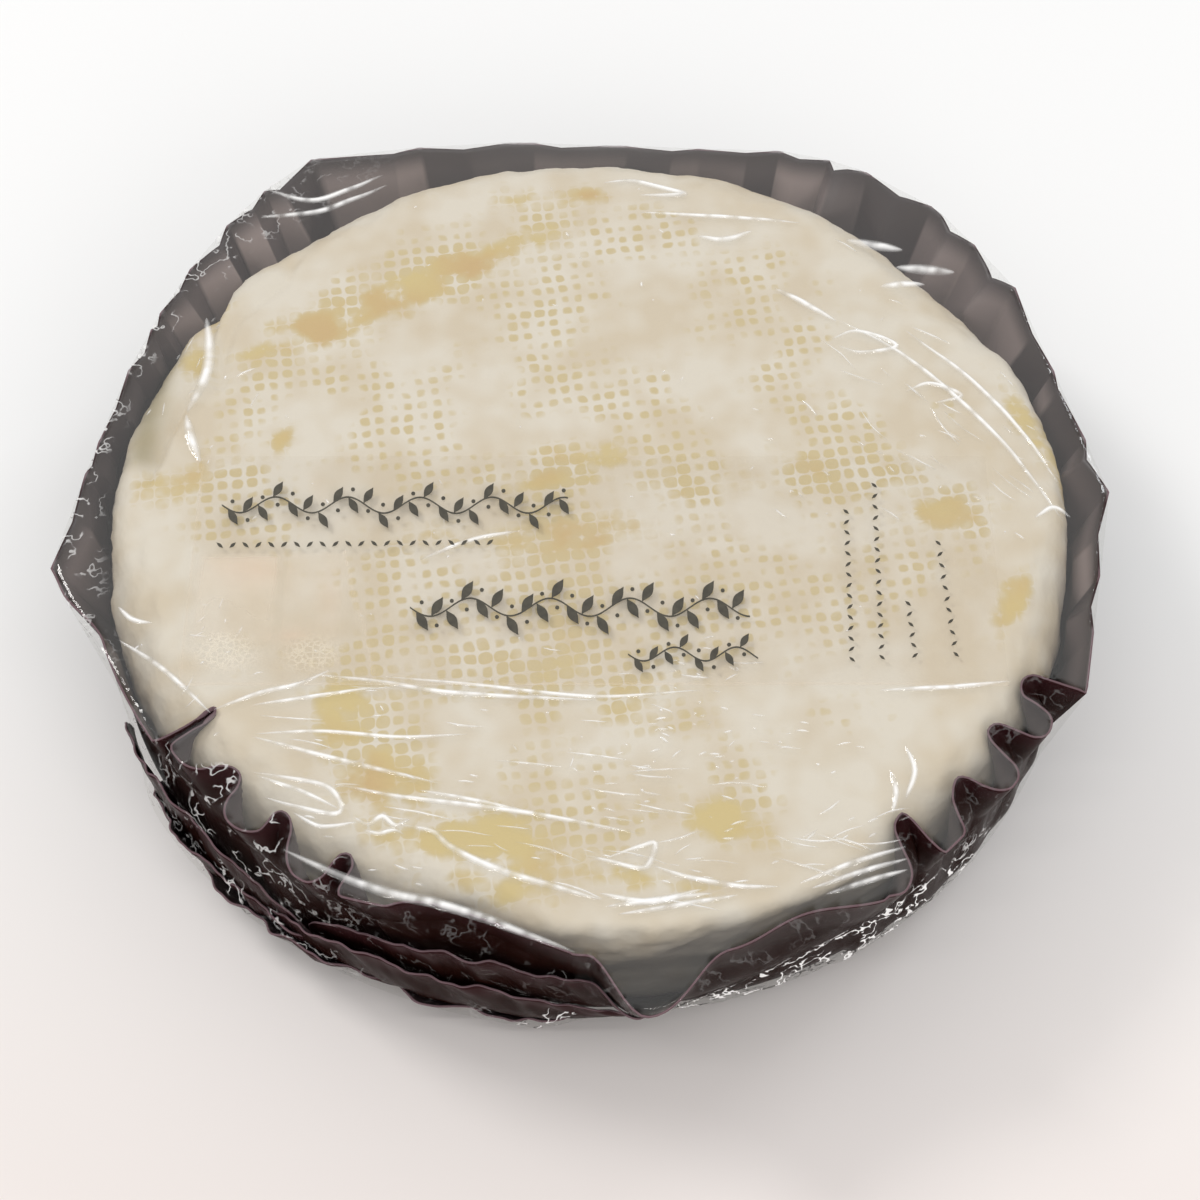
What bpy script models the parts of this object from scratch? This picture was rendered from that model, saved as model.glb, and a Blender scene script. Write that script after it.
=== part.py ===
"""A small soft-ripened cheese wheel in a dark pleated case, wrapped in clear film with a clear label.

Metres, +Z up. The film lies flat on the floor at z = 0, and the origin is the middle of the outline.
Azimuths are degrees from +X towards +Y, round the wheel's axis. The side that the film has folded
and pulled most faces -Y.
"""
import math
import random

import bmesh
import bpy
from mathutils import Vector
from mathutils.geometry import convex_hull_2d

# The wheel of cheese is a low drum with a soft shoulder and a soft bottom edge.
# Its front was pressed a little flat.
WHEEL_RADIUS = 0.0546
WHEEL_BOTTOM = 0.0013
WHEEL_TOP = 0.0246
SHOULDER_RADIUS = 0.0070
FOOT_RADIUS = 0.0070
FRONT_AZIMUTH = 256.0
FRONT_FLAT = 0.0016
WHEEL_STEPS = 64
SHOULDER_STEPS = 5
FOOT_STEPS = 4
FLAT_RADII = [0.012, 0.026, 0.038]

# Dents that the film and the case pressed into the shoulder: azimuth, half width, depth.
DENTS = [(158.0, 14.0, 0.0017), (139.0, 8.0, 0.0010), (24.0, 18.0, 0.0008), (232.0, 14.0, 0.0009),
         (286.0, 16.0, 0.0012)]
DENT_START = 0.0400
DENT_FADE = 0.0080
DENT_SINK = 0.7
TOP_SAG = 0.0004
TOP_WAVE = 0.0003

# The case is one thin sheet, pressed into flutes, which hugs the wheel and ends in a loose rim.
CASE_THICKNESS = 0.00035
CASE_FLOOR = 0.00095
CASE_BASE_RADIUS = 0.0498
CASE_GAP = 0.0006
FLUTE_DEPTH = 0.0006
WALL_HEIGHTS = [0.0022, 0.0050, 0.0083, 0.0168, 0.0212]
WALL_FLARE = 0.8
RIM_DROP_FRONT = 0.0002
RIM_DROP_BACK = 0.0020
RIM_DIP = 0.18

# Where the film pulls the rim out and where it lets it fall in: azimuth, radius.
RIM_PULLS = [(1.0, 0.0586), (10.0, 0.0572), (19.0, 0.0570), (31.5, 0.0596), (45.0, 0.0611),
             (58.0, 0.0609), (66.5, 0.0592), (88.5, 0.0563), (101.0, 0.0576), (113.0, 0.0594),
             (123.5, 0.0628), (133.5, 0.0614), (148.0, 0.0585), (161.0, 0.0568), (177.5, 0.0573),
             (189.0, 0.0601), (200.0, 0.0559), (214.5, 0.0557), (227.0, 0.0554), (239.0, 0.0560),
             (252.0, 0.0544), (260.0, 0.0546), (270.0, 0.0562), (275.5, 0.0632), (284.5, 0.0574),
             (292.5, 0.0561), (303.5, 0.0588), (320.0, 0.0577), (328.0, 0.0576), (334.5, 0.0590),
             (342.0, 0.0567), (350.5, 0.0566)]

# Runs of pleats along the rim: start, end, pleats, depth at the rim, corners in each pleat.
PLEAT_RUNS = [(1.0, 31.5, 3, 0.0016, 4), (31.5, 66.5, 4, 0.0040, 8), (66.5, 123.5, 6, 0.0014, 4),
              (123.5, 161.0, 5, 0.0030, 8), (161.0, 189.0, 3, 0.0015, 4),
              (214.5, 244.0, 5, 0.0038, 8), (244.0, 270.0, 3, 0.0014, 4),
              (303.5, 334.5, 4, 0.0054, 8), (342.0, 361.0, 2, 0.0012, 4)]
LOBE_SWING = 0.155
PLAIN_STEP = 3.5
SEED = 7

# The film is drawn tight over the rim and the top, and gathers round a hole under the wheel.
FILM_THICKNESS = 0.0003
FILM_GAP = 0.00035
FILM_HOLE_RADIUS = 0.0180
FILM_FOOT_DROP = 0.0005
FILM_TOP_GAP = 0.0003
FILM_TOP_RADII = [0.0500, 0.0260]
FILM_STEP = 5.0

# The label is a clear sheet that lies on the film, across the front of the top.
LABEL_LEFT = -0.0439
LABEL_RIGHT = 0.0450
LABEL_FRONT = -0.0250
LABEL_BACK = 0.0055
LABEL_GAP = 0.0003
LABEL_THICKNESS = 0.0002
LABEL_COLUMNS = 16
LABEL_ROWS = 6

# The wheel's axis, seen from the middle of the outline.
WHEEL_AXIS = (0.000394, 0.002943)


def clear_scene():
    for old in list(bpy.data.objects):
        bpy.data.objects.remove(old, do_unlink=True)


def make_material(name, colour, roughness):
    material = bpy.data.materials.new(name)
    material.use_nodes = True
    shader = material.node_tree.nodes["Principled BSDF"]
    shader.inputs["Base Color"].default_value = (*colour, 1.0)
    shader.inputs["Roughness"].default_value = roughness
    shader.inputs["Metallic"].default_value = 0.0
    return material


def polar(radius, azimuth, height):
    angle = math.radians(azimuth)
    return (radius * math.cos(angle), radius * math.sin(angle), height)


def ease(fraction):
    fraction = min(max(fraction, 0.0), 1.0)
    return (1.0 - math.cos(math.pi * fraction)) / 2.0


def turn_between(azimuth, other):
    """The angle between two azimuths, in degrees, from 0 to 180."""
    return abs((azimuth - other + 180.0) % 360.0 - 180.0)


# The wheel

def front_flat(azimuth):
    """How far the wheel's side falls short of a true circle."""
    return FRONT_FLAT * max(0.0, math.cos(math.radians(azimuth - FRONT_AZIMUTH))) ** 3


def wheel_profile():
    """Points (radius, height) down the wheel's right side, from the middle of its top."""
    profile = [(0.0, WHEEL_TOP)] + [(radius, WHEEL_TOP) for radius in FLAT_RADII]
    for step in range(SHOULDER_STEPS + 1):
        angle = math.radians(90.0 - 90.0 * step / SHOULDER_STEPS)
        profile.append((WHEEL_RADIUS - SHOULDER_RADIUS + SHOULDER_RADIUS * math.cos(angle),
                        WHEEL_TOP - SHOULDER_RADIUS + SHOULDER_RADIUS * math.sin(angle)))
    for step in range(FOOT_STEPS + 1):
        angle = math.radians(-90.0 * step / FOOT_STEPS)
        profile.append((WHEEL_RADIUS - FOOT_RADIUS + FOOT_RADIUS * math.cos(angle),
                        WHEEL_BOTTOM + FOOT_RADIUS + FOOT_RADIUS * math.sin(angle)))
    profile += [(FLAT_RADII[1], WHEEL_BOTTOM), (0.0, WHEEL_BOTTOM)]
    return profile


def turned_mesh(name, profile, steps):
    """A closed mesh turned from a profile with a Screw modifier."""
    outline = bpy.data.meshes.new(name + "_outline")
    points = [(radius, 0.0, height) for radius, height in profile]
    outline.from_pydata(points, [(i, i + 1) for i in range(len(points) - 1)], [])
    guide = bpy.data.objects.new(name + "_outline", outline)
    bpy.context.scene.collection.objects.link(guide)
    screw = guide.modifiers.new("Turn", "SCREW")
    screw.steps = steps
    screw.render_steps = steps
    screw.use_merge_vertices = True
    screw.merge_threshold = 0.00001
    bpy.context.view_layer.update()
    evaluated = guide.evaluated_get(bpy.context.evaluated_depsgraph_get())
    mesh = bpy.data.meshes.new_from_object(evaluated)
    bpy.data.objects.remove(guide, do_unlink=True)
    return mesh


def press_wheel(mesh):
    """Dents in the shoulder and a gently sagging top; nothing moves outwards."""
    for vertex in mesh.vertices:
        x, y, z = vertex.co
        radius = math.hypot(x, y)
        azimuth = math.degrees(math.atan2(y, x))
        above = ease((z - WHEEL_TOP / 2.0) / SHOULDER_RADIUS)
        pressed = 0.0
        for middle, half_width, depth in DENTS:
            across = max(0.0, 1.0 - (turn_between(azimuth, middle) / half_width) ** 2)
            pressed += depth * across ** 2 * above * ease((radius - DENT_START) / DENT_FADE)
        inwards = pressed + front_flat(azimuth) * radius / WHEEL_RADIUS
        if radius > 0.0:
            vertex.co.x -= inwards * x / radius
            vertex.co.y -= inwards * y / radius
        top = above * (1.0 - ease(radius / WHEEL_RADIUS))
        ripple = 0.5 + 0.5 * math.sin(3.0 * math.radians(azimuth) + 90.0 * radius)
        wave = TOP_WAVE * ripple * ease(radius / FLAT_RADII[1]) * above
        vertex.co.z -= pressed * DENT_SINK + TOP_SAG * top + wave


def make_wheel(collection, axis):
    mesh = turned_mesh("cheese_wheel", wheel_profile(), WHEEL_STEPS)
    mesh.name = "cheese_wheel"
    press_wheel(mesh)
    add_part("cheese_wheel", mesh, make_material("bloomy_rind", (0.84, 0.77, 0.60), 0.65),
             collection, axis)


def wheel_side_radius(azimuth, height, gap):
    """How far out the wheel reaches at a height, with a gap kept all round it."""
    side = WHEEL_RADIUS - front_flat(azimuth)
    shoulder_middle = WHEEL_TOP - SHOULDER_RADIUS
    foot_middle = WHEEL_BOTTOM + FOOT_RADIUS
    if height > shoulder_middle:
        corner, rise = SHOULDER_RADIUS, height - shoulder_middle
    elif height < foot_middle:
        corner, rise = FOOT_RADIUS, foot_middle - height
    else:
        corner, rise = 0.0, 0.0
    reach = max(0.0, (corner + gap) ** 2 - rise ** 2)
    return side - corner + math.sqrt(reach)


# The pleated case

def rim_radius(azimuth):
    """The radius of the rim's outer tips, eased from one pull of the film to the next."""
    azimuth = azimuth % 360.0
    last, first = RIM_PULLS[-1], RIM_PULLS[0]
    pulls = [(last[0] - 360.0, last[1])] + RIM_PULLS + [(first[0] + 360.0, first[1])]
    for (start, from_radius), (end, to_radius) in zip(pulls, pulls[1:]):
        if start <= azimuth <= end:
            return from_radius + (to_radius - from_radius) * ease((azimuth - start) / (end - start))


def rim_height(azimuth):
    """The rim stands almost level with the wheel's top in front, and lower at the back."""
    back = max(0.0, math.sin(math.radians(azimuth))) ** 8
    return WHEEL_TOP - RIM_DROP_FRONT - RIM_DROP_BACK * back


def flared_radius(base, rim, height, azimuth):
    """The radius of a wall at a height, on its way from the base out to the rim."""
    return base + (rim - base) * (height / rim_height(azimuth)) ** WALL_FLARE


def rim_columns():
    """The sheet's upright lines: azimuth, swing, fold from 0 (outer tip) to 1 (inner tip), depth."""
    chance = random.Random(SEED)
    columns = []
    runs = PLEAT_RUNS + [(PLEAT_RUNS[0][0] + 360.0,)]
    for (start, end, pleats, depth, corners), following in zip(PLEAT_RUNS, runs[1:]):
        pitch = (end - start) / pleats
        for pleat in range(pleats):
            own_depth = depth * chance.uniform(0.85, 1.10)
            for corner in range(corners):
                phase = 2.0 * math.pi * corner / corners
                swing = LOBE_SWING * pitch * math.sin(2.0 * phase) if corners > 4 else 0.0
                azimuth = start + pitch * (pleat + corner / corners)
                columns.append((azimuth, swing, (1.0 - math.cos(phase)) / 2.0, own_depth))
        plain = following[0] - end
        steps = round(plain / PLAIN_STEP)
        columns += [(end + plain * step / steps, 0.0, 0.0, 0.0) for step in range(steps)]
    return columns


def case_point(column, height):
    """A point of the sheet's inner face; a height of None means the rim."""
    azimuth, swing, fold, depth = column
    if height is None:
        height = rim_height(azimuth) - RIM_DIP * depth * fold
    share = height / rim_height(azimuth)
    azimuth += swing * share ** 2
    nearest = wheel_side_radius(azimuth, height, CASE_GAP)
    flute = FLUTE_DEPTH if depth > 0.0 else 0.0
    outer = max(flared_radius(CASE_BASE_RADIUS, rim_radius(azimuth), height, azimuth),
                nearest + flute)
    inner = max(outer - max(depth * share, flute), nearest)
    return polar(outer + (inner - outer) * fold, azimuth, height)


def make_case(collection, axis):
    columns = rim_columns()
    rings = [[polar(CASE_BASE_RADIUS, column[0], CASE_FLOOR) for column in columns]]
    for height in WALL_HEIGHTS:
        rings.append([case_point(column, height) for column in columns])
    rings.append([case_point(column, None) for column in columns])
    mesh = loft_mesh("pleated_case", rings, floor_middle=(0.0, 0.0, CASE_FLOOR))
    case = add_part("pleated_case", mesh, make_material("dark_case", (0.045, 0.022, 0.022), 0.3),
                    collection, axis)
    thicken(case, CASE_THICKNESS)


# The clear wrap

def tight_outline():
    """The rim's outline with the film drawn straight across its hollows: azimuths and radii."""
    rim = [Vector(case_point(column, None)).to_2d() for column in rim_columns()]
    corners = [rim[index] for index in convex_hull_2d(rim)]
    corners.sort(key=lambda corner: math.atan2(corner.y, corner.x) % (2.0 * math.pi))
    outline = []
    for corner, following in zip(corners, corners[1:] + corners[:1]):
        steps = max(1, round(math.degrees(corner.angle(following)) / FILM_STEP))
        for step in range(steps):
            point = corner.lerp(following, step / steps)
            azimuth = math.degrees(math.atan2(point.y, point.x)) % 360.0
            outline.append((azimuth, point.length))
    return outline


def film_wall_radius(azimuth, tight, height):
    """The radius of the film's inner face at a height, clear of the case all the way up."""
    clearance = CASE_THICKNESS + FILM_GAP
    flared = flared_radius(CASE_BASE_RADIUS, tight, height, azimuth)
    return max(flared, wheel_side_radius(azimuth, height, CASE_GAP) + FLUTE_DEPTH) + clearance


def film_edge_height(azimuth):
    return rim_height(azimuth) + FILM_GAP


def make_film(collection, axis):
    outline = tight_outline()
    floor = FILM_THICKNESS
    top = WHEEL_TOP + FILM_TOP_GAP
    flat_radius = CASE_BASE_RADIUS + CASE_THICKNESS + FILM_GAP
    rings = [[polar(radius, azimuth, floor) for azimuth, tight in outline]
             for radius in (FILM_HOLE_RADIUS, flat_radius)]
    for height in WALL_HEIGHTS[:-1]:
        rings.append([polar(film_wall_radius(azimuth, tight, height), azimuth,
                            height - FILM_FOOT_DROP) for azimuth, tight in outline])
    rings.append([polar(tight + CASE_THICKNESS + FILM_GAP, azimuth, film_edge_height(azimuth))
                  for azimuth, tight in outline])
    for radius in FILM_TOP_RADII:
        rings.append([polar(radius, azimuth, top) for azimuth, tight in outline])
    mesh = loft_mesh("clear_wrap", rings, top_middle=(0.0, 0.0, top))
    film = add_part("clear_wrap", mesh, make_material("clear_film", (0.80, 0.81, 0.82), 0.12),
                    collection, axis)
    thicken(film, FILM_THICKNESS)


# The label

def make_label(collection, axis):
    bpy.ops.mesh.primitive_grid_add(x_subdivisions=LABEL_COLUMNS, y_subdivisions=LABEL_ROWS, size=1.0)
    label = bpy.context.active_object
    mesh = label.data
    mesh.name = "clear_label"
    bpy.data.objects.remove(label, do_unlink=True)
    height = WHEEL_TOP + FILM_TOP_GAP + FILM_THICKNESS + LABEL_GAP
    for vertex in mesh.vertices:
        vertex.co = (LABEL_LEFT + (LABEL_RIGHT - LABEL_LEFT) * (vertex.co.x + 0.5),
                     LABEL_FRONT + (LABEL_BACK - LABEL_FRONT) * (vertex.co.y + 0.5),
                     height)
    label = add_part("clear_label", mesh, make_material("label_film", (0.82, 0.80, 0.74), 0.4),
                     collection, axis)
    thicken(label, LABEL_THICKNESS)


# Shared steps

def loft_mesh(name, rings, floor_middle=None, top_middle=None):
    """A sheet drawn up through closed rings of equal counts, and closed at the floor or the top."""
    net = bmesh.new()
    rows = [[net.verts.new(point) for point in ring] for ring in rings]
    pairs = [(index, (index + 1) % len(rings[0])) for index in range(len(rings[0]))]
    for lower, upper in zip(rows, rows[1:]):
        for index, after in pairs:
            net.faces.new((lower[index], lower[after], upper[after], upper[index]))
    if floor_middle:
        middle = net.verts.new(floor_middle)
        for index, after in pairs:
            net.faces.new((rows[0][after], rows[0][index], middle))
    if top_middle:
        middle = net.verts.new(top_middle)
        for index, after in pairs:
            net.faces.new((rows[-1][index], rows[-1][after], middle))
    mesh = bpy.data.meshes.new(name)
    net.to_mesh(mesh)
    net.free()
    return mesh


def thicken(part, thickness):
    """Gives a sheet its thickness on the side that its faces point to."""
    shell = part.modifiers.new("Thickness", "SOLIDIFY")
    shell.thickness = thickness
    shell.offset = 1.0
    shell.use_even_offset = True


def add_part(name, mesh, material, collection, axis):
    part = bpy.data.objects.new(name, mesh)
    collection.objects.link(part)
    part.parent = axis
    mesh.materials.clear()
    mesh.materials.append(material)
    mesh.shade_smooth()
    mesh.set_sharp_from_angle(angle=math.radians(40.0))
    return part


def main():
    clear_scene()
    collection = bpy.data.collections.new("wrapped_cheese_wheel")
    bpy.context.scene.collection.children.link(collection)
    axis = bpy.data.objects.new("wheel_axis", None)
    axis.location = (*WHEEL_AXIS, 0.0)
    collection.objects.link(axis)
    make_wheel(collection, axis)
    make_case(collection, axis)
    make_film(collection, axis)
    make_label(collection, axis)


main()
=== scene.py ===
"""The looks of a small soft-ripened cheese wheel in its pleated case, clear film and clear label.

Metres, +Z up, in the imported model's frame. Azimuths are degrees from +X towards +Y, round the wheel's axis.
The photograph is taken as 1200 x 1200 pixels, and named pixels in it place what lies on the wheel's top.
"""
import math
import random

import bpy
import numpy as np
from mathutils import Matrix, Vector, noise
from mathutils.geometry import convex_hull_2d


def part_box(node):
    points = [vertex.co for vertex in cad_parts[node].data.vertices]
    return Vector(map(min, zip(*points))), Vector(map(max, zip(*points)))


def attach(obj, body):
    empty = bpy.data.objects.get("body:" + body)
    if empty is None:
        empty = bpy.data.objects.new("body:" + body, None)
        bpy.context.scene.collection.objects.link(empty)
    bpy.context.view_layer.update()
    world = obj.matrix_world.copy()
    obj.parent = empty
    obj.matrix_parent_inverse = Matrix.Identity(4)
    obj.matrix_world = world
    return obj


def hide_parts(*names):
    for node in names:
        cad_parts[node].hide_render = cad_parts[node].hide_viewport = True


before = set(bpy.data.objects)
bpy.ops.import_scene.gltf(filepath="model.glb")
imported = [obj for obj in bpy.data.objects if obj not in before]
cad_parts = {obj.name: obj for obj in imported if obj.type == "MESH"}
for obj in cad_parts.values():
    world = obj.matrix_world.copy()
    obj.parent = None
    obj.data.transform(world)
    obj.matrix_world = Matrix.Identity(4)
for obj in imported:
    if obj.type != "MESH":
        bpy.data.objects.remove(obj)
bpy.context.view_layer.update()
bpy.ops.object.select_all(action="DESELECT")

# The stage: a pale table with painted shade that darkens and warms it towards the front, seen from above its
# front edge, in a pale room with four soft lamps.
# The lamps stand clear of where the flat film mirrors the camera, and draw glints on its creases.
WHEEL_RADIUS = 0.0546
AXIS_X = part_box("cheese_wheel")[1][0] - WHEEL_RADIUS
AXIS_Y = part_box("cheese_wheel")[1][1] - WHEEL_RADIUS
PHOTO_SIDE = 1200
CAMERA_PLACE = (AXIS_X + 0.00125, AXIS_Y - 0.16379, 0.25125)
CAMERA_TILT = math.radians(33.5)
CAMERA_LENS = 74.4
SENSOR = 36.0
FLOOR_SIZE = 4.0
FLOOR_DROP = 0.0001


def seen_at(u, v, height):
    """The point at a height that the camera sees at a pixel of the photograph."""
    focal = CAMERA_LENS / SENSOR * PHOTO_SIDE
    across = (u - PHOTO_SIDE / 2) / focal
    up = (PHOTO_SIDE / 2 - v) / focal
    ahead = up * math.cos(CAMERA_TILT) + math.sin(CAMERA_TILT)
    down = up * math.sin(CAMERA_TILT) - math.cos(CAMERA_TILT)
    reach = (height - CAMERA_PLACE[2]) / down
    return CAMERA_PLACE[0] + reach * across, CAMERA_PLACE[1] + reach * ahead


def new_material(name):
    """An empty material, with the tree for its nodes."""
    material = bpy.data.materials.new(name)
    material.use_nodes = True
    material.node_tree.nodes.clear()
    return material, material.node_tree


def feed(tree, socket, value):
    """Fills a socket from a node's first output, from another socket, or with a plain value."""
    if isinstance(value, bpy.types.Node):
        value = value.outputs[0]
    if isinstance(value, bpy.types.NodeSocket):
        tree.links.new(value, socket)
    else:
        socket.default_value = value


def add_node(tree, kind, *feeds, **settings):
    """A shader node: feeds fill its sockets in order, settings its properties or the sockets they name."""
    node = tree.nodes.new("ShaderNode" + kind)
    for name, value in settings.items():
        if hasattr(node, name):
            setattr(node, name, value)
    for name, value in settings.items():
        if not hasattr(node, name):
            feed(tree, node.inputs[name.replace("_", " ")], value)
    for socket, value in zip(node.inputs, feeds):
        feed(tree, socket, value)
    return node


def calculate(tree, operation, *feeds, clamp=False):
    return add_node(tree, "Math", *feeds, operation=operation, use_clamp=clamp)


def ramp(tree, value, low, high, low_result=0.0, high_result=1.0, kind="LINEAR"):
    return add_node(tree, "MapRange", value, low, high, low_result, high_result, interpolation_type=kind)


def blend(tree, share, first, second):
    """A colour that goes from the first to the second as the share goes from 0 to 1."""
    node = add_node(tree, "Mix", data_type="RGBA")
    for index, value in ((0, share), (6, first), (7, second)):
        feed(tree, node.inputs[index], value)
    return node.outputs[2]


def object_place(tree):
    return add_node(tree, "TexCoord").outputs["Object"]


def finish_opaque(tree, **settings):
    """Ends a material with one surface."""
    surface = add_node(tree, "BsdfPrincipled", **settings)
    add_node(tree, "OutputMaterial", surface)


def colour(red, green, blue):
    """A colour as read on a screen, 0 to 255, in the linear values that a shader takes."""
    values = [channel / 255.0 for channel in (red, green, blue)]
    return [value / 12.92 if value <= 0.04045 else ((value + 0.055) / 1.055) ** 2.4
            for value in values] + [1.0]


# Painted shade: from far to near, along this run of y, the table's colour goes darker and warmer.
FRONT_SHADE_RUN = (-0.085, 0.010)
TABLE_NEAR_SHADED, TABLE_FAR = colour(234, 226, 223), colour(240, 241, 242)
bpy.ops.object.camera_add(location=CAMERA_PLACE, rotation=(CAMERA_TILT, 0.0, 0.0))
camera = bpy.context.active_object
camera.name = "camera"
camera.data.lens = CAMERA_LENS
camera.data.sensor_width = SENSOR
camera.data.clip_start = 0.01
bpy.context.scene.camera = camera
bpy.context.scene.view_settings.view_transform = "Standard"

bpy.ops.mesh.primitive_plane_add(size=FLOOR_SIZE, location=(0.0, 0.0, -FLOOR_DROP))
floor = bpy.context.active_object
floor.name = "floor"
bpy.ops.object.transform_apply(location=True)
floor_paint, tree = new_material("pale_table")
ahead = add_node(tree, "SeparateXYZ", object_place(tree)).outputs["Y"]
table_front_shade = blend(tree, ramp(tree, ahead, *FRONT_SHADE_RUN), TABLE_NEAR_SHADED, TABLE_FAR)
finish_opaque(tree, Base_Color=table_front_shade, Roughness=0.55)
floor.data.materials.append(floor_paint)

ROOM_LIGHT = 0.68
ROOM_TONE = (1.0, 0.985, 0.97, 1.0)

# Each lamp: its name, place, width, depth, radiance and colour. All of them face the origin.
LAMPS = [("left_lamp", (-0.80, 0.50, 0.95), 0.35, 0.35, 12.5, (1.0, 0.98, 0.95)),
         ("overhead_strip", (0.0, -0.32, 1.20), 1.20, 0.07, 8.5, (1.0, 0.98, 0.96)),
         ("right_window", (0.85, 0.80, 0.65), 0.30, 0.30, 8.0, (0.93, 0.97, 1.0)),
         ("front_lamp", (0.45, -1.00, 0.60), 1.00, 0.60, 1.8, (1.0, 0.98, 0.95))]
world = bpy.data.worlds.new("room")
world.use_nodes = True
room = world.node_tree.nodes["Background"]
room.inputs["Color"].default_value = ROOM_TONE
room.inputs["Strength"].default_value = ROOM_LIGHT
bpy.context.scene.world = world
for name, place, width, depth, radiance, tone in LAMPS:
    bpy.ops.object.light_add(type="AREA", location=place)
    lamp = bpy.context.active_object
    lamp.name = name
    lamp.rotation_euler = (Vector(place) * -1.0).to_track_quat("-Z", "Y").to_euler()
    lamp.data.shape = "RECTANGLE"
    lamp.data.size = width
    lamp.data.size_y = depth
    lamp.data.energy = radiance * width * depth * math.pi
    lamp.data.color = tone

# The wheel of cheese: a low drum of soft curd under a white bloomy rind, pressed by the film and the case.
# The draining mat has printed rows of small yellow squares on its top, and ripe spots show through the bloom.
WHEEL_BOTTOM = 0.0013
WHEEL_TOP = 0.0246
SHOULDER = 0.0070
FRONT_AZIMUTH = 256.0
FRONT_FLAT = 0.0016
WHEEL_COLUMNS = 480
WHEEL_ROWS = 190

# Dents that the film and the case pressed into the shoulder: azimuth, half width in degrees, depth.
DENTS = [(158.0, 14.0, 0.0004), (40.0, 16.0, 0.0006), (232.0, 14.0, 0.0009)]
DENT_START = 0.0400
DENT_FADE = 0.0080
DENT_SINK = 0.7

# Parts where the shoulder is full and square: azimuth, half width in degrees, how full.
FULL_PARTS = [(283.0, 21.0, 1.0), (162.0, 26.0, 0.5), (10.0, 16.0, 0.5)]
FULL_SHOULDER = 0.0016
TOP_SOFTNESS = 0.0004
SKIN_SINK = 0.00012

# Folds in the rind: depth and half width in metres, then the pixels that they run along.
GROOVES = [(0.0016, 0.0010, [(218, 286), (206, 328), (196, 366), (181, 404), (163, 440), (144, 480)]),
           (0.0008, 0.0009, [(292, 262), (284, 286), (262, 302), (237, 322), (223, 352), (219, 385)]),
           (0.0004, 0.0014, [(262, 860), (330, 872), (400, 900), (470, 918)])]

# Ripe spots seen in the top: pixel, half width and half depth in metres, strength, turn in degrees.
RIPE_SPOTS = [((272, 348), 0.0040, 0.0016, 1.1, 12), ((328, 322), 0.0062, 0.0027, 1.3, 18),
              ((398, 292), 0.0080, 0.0029, 1.3, 24), ((470, 262), 0.0066, 0.0024, 1.2, 20),
              ((520, 240), 0.0060, 0.0022, 0.6, 20), ((200, 345), 0.0024, 0.0070, 0.6, -15),
              ((185, 480), 0.0070, 0.0036, 0.6, 20), ((284, 440), 0.0014, 0.0020, 0.9, -20),
              ((592, 455), 0.0040, 0.0022, 1.0, 0), ((556, 478), 0.0066, 0.0014, 0.9, 8),
              ((560, 535), 0.0080, 0.0034, 0.9, 8), ((440, 535), 0.0066, 0.0026, 0.6, 8),
              ((690, 480), 0.0066, 0.0036, 0.5, 8), ((940, 510), 0.0052, 0.0026, 1.1, -5),
              ((1012, 600), 0.0020, 0.0058, 1.0, -25), ((1046, 440), 0.0022, 0.0090, 1.0, 26),
              ((352, 706), 0.0034, 0.0056, 1.1, -14), ((386, 770), 0.0042, 0.0052, 1.1, -28),
              ((430, 828), 0.0080, 0.0030, 1.2, -14), ((505, 842), 0.0080, 0.0040, 1.2, -16),
              ((500, 882), 0.0080, 0.0022, 0.65, -18), ((640, 880), 0.0070, 0.0016, 0.7, -6),
              ((735, 822), 0.0042, 0.0034, 1.0, 0), ((560, 640), 0.0040, 0.0100, 0.45, 0),
              ((560, 196), 0.0140, 0.0020, 0.50, 0), ((630, 700), 0.0080, 0.0040, 0.4, 0),
              ((850, 470), 0.0090, 0.0046, 0.40, 0), ((480, 660), 0.0060, 0.0020, 0.5, 0)]

# Painted shade: a greenish olive darkening along the fold in the rind's left shoulder.
FOLD_SHADE_PIXELS = [(168, 352), (158, 392), (150, 430), (144, 462)]
FOLD_SHADE_REACH = 0.0019

# Bare white patches of the mat's print, in the same form.
BARE_SPOTS = [((520, 430), 0.0055, 0.0024, 1.0, 8), ((665, 330), 0.0050, 0.0070, 1.0, 0),
              ((430, 330), 0.0050, 0.0024, 0.9, 20), ((730, 430), 0.0030, 0.0060, 0.8, 10),
              ((330, 420), 0.0060, 0.0020, 0.8, 30), ((640, 540), 0.0050, 0.0030, 0.8, 0),
              ((880, 330), 0.0120, 0.0080, 1.0, -30), ((270, 610), 0.0090, 0.0060, 1.0, 0),
              ((820, 760), 0.0160, 0.0050, 0.9, 10), ((460, 730), 0.0060, 0.0050, 0.9, 0),
              ((980, 690), 0.0070, 0.0070, 1.0, 0), ((300, 790), 0.0060, 0.0060, 1.0, 0)]


def shaped_grid(name, columns, rows, shape):
    """A flat grid bent to a form, whose shape gives the points for shares across and up from 0 to 1."""
    bpy.ops.mesh.primitive_grid_add(x_subdivisions=columns, y_subdivisions=rows, size=1.0)
    piece = bpy.context.active_object
    piece.name = name
    piece.data.name = name
    flat = places_of(piece.data) + 0.5
    mark(piece.data, across=flat[:, 0])
    piece.data.vertices.foreach_set("co", shape(flat[:, 0], flat[:, 1]).ravel())
    bpy.ops.object.mode_set(mode="EDIT")
    bpy.ops.mesh.select_all(action="SELECT")
    bpy.ops.mesh.remove_doubles(threshold=0.000002)
    bpy.ops.object.mode_set(mode="OBJECT")
    bpy.ops.object.shade_smooth()
    return piece


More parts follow.
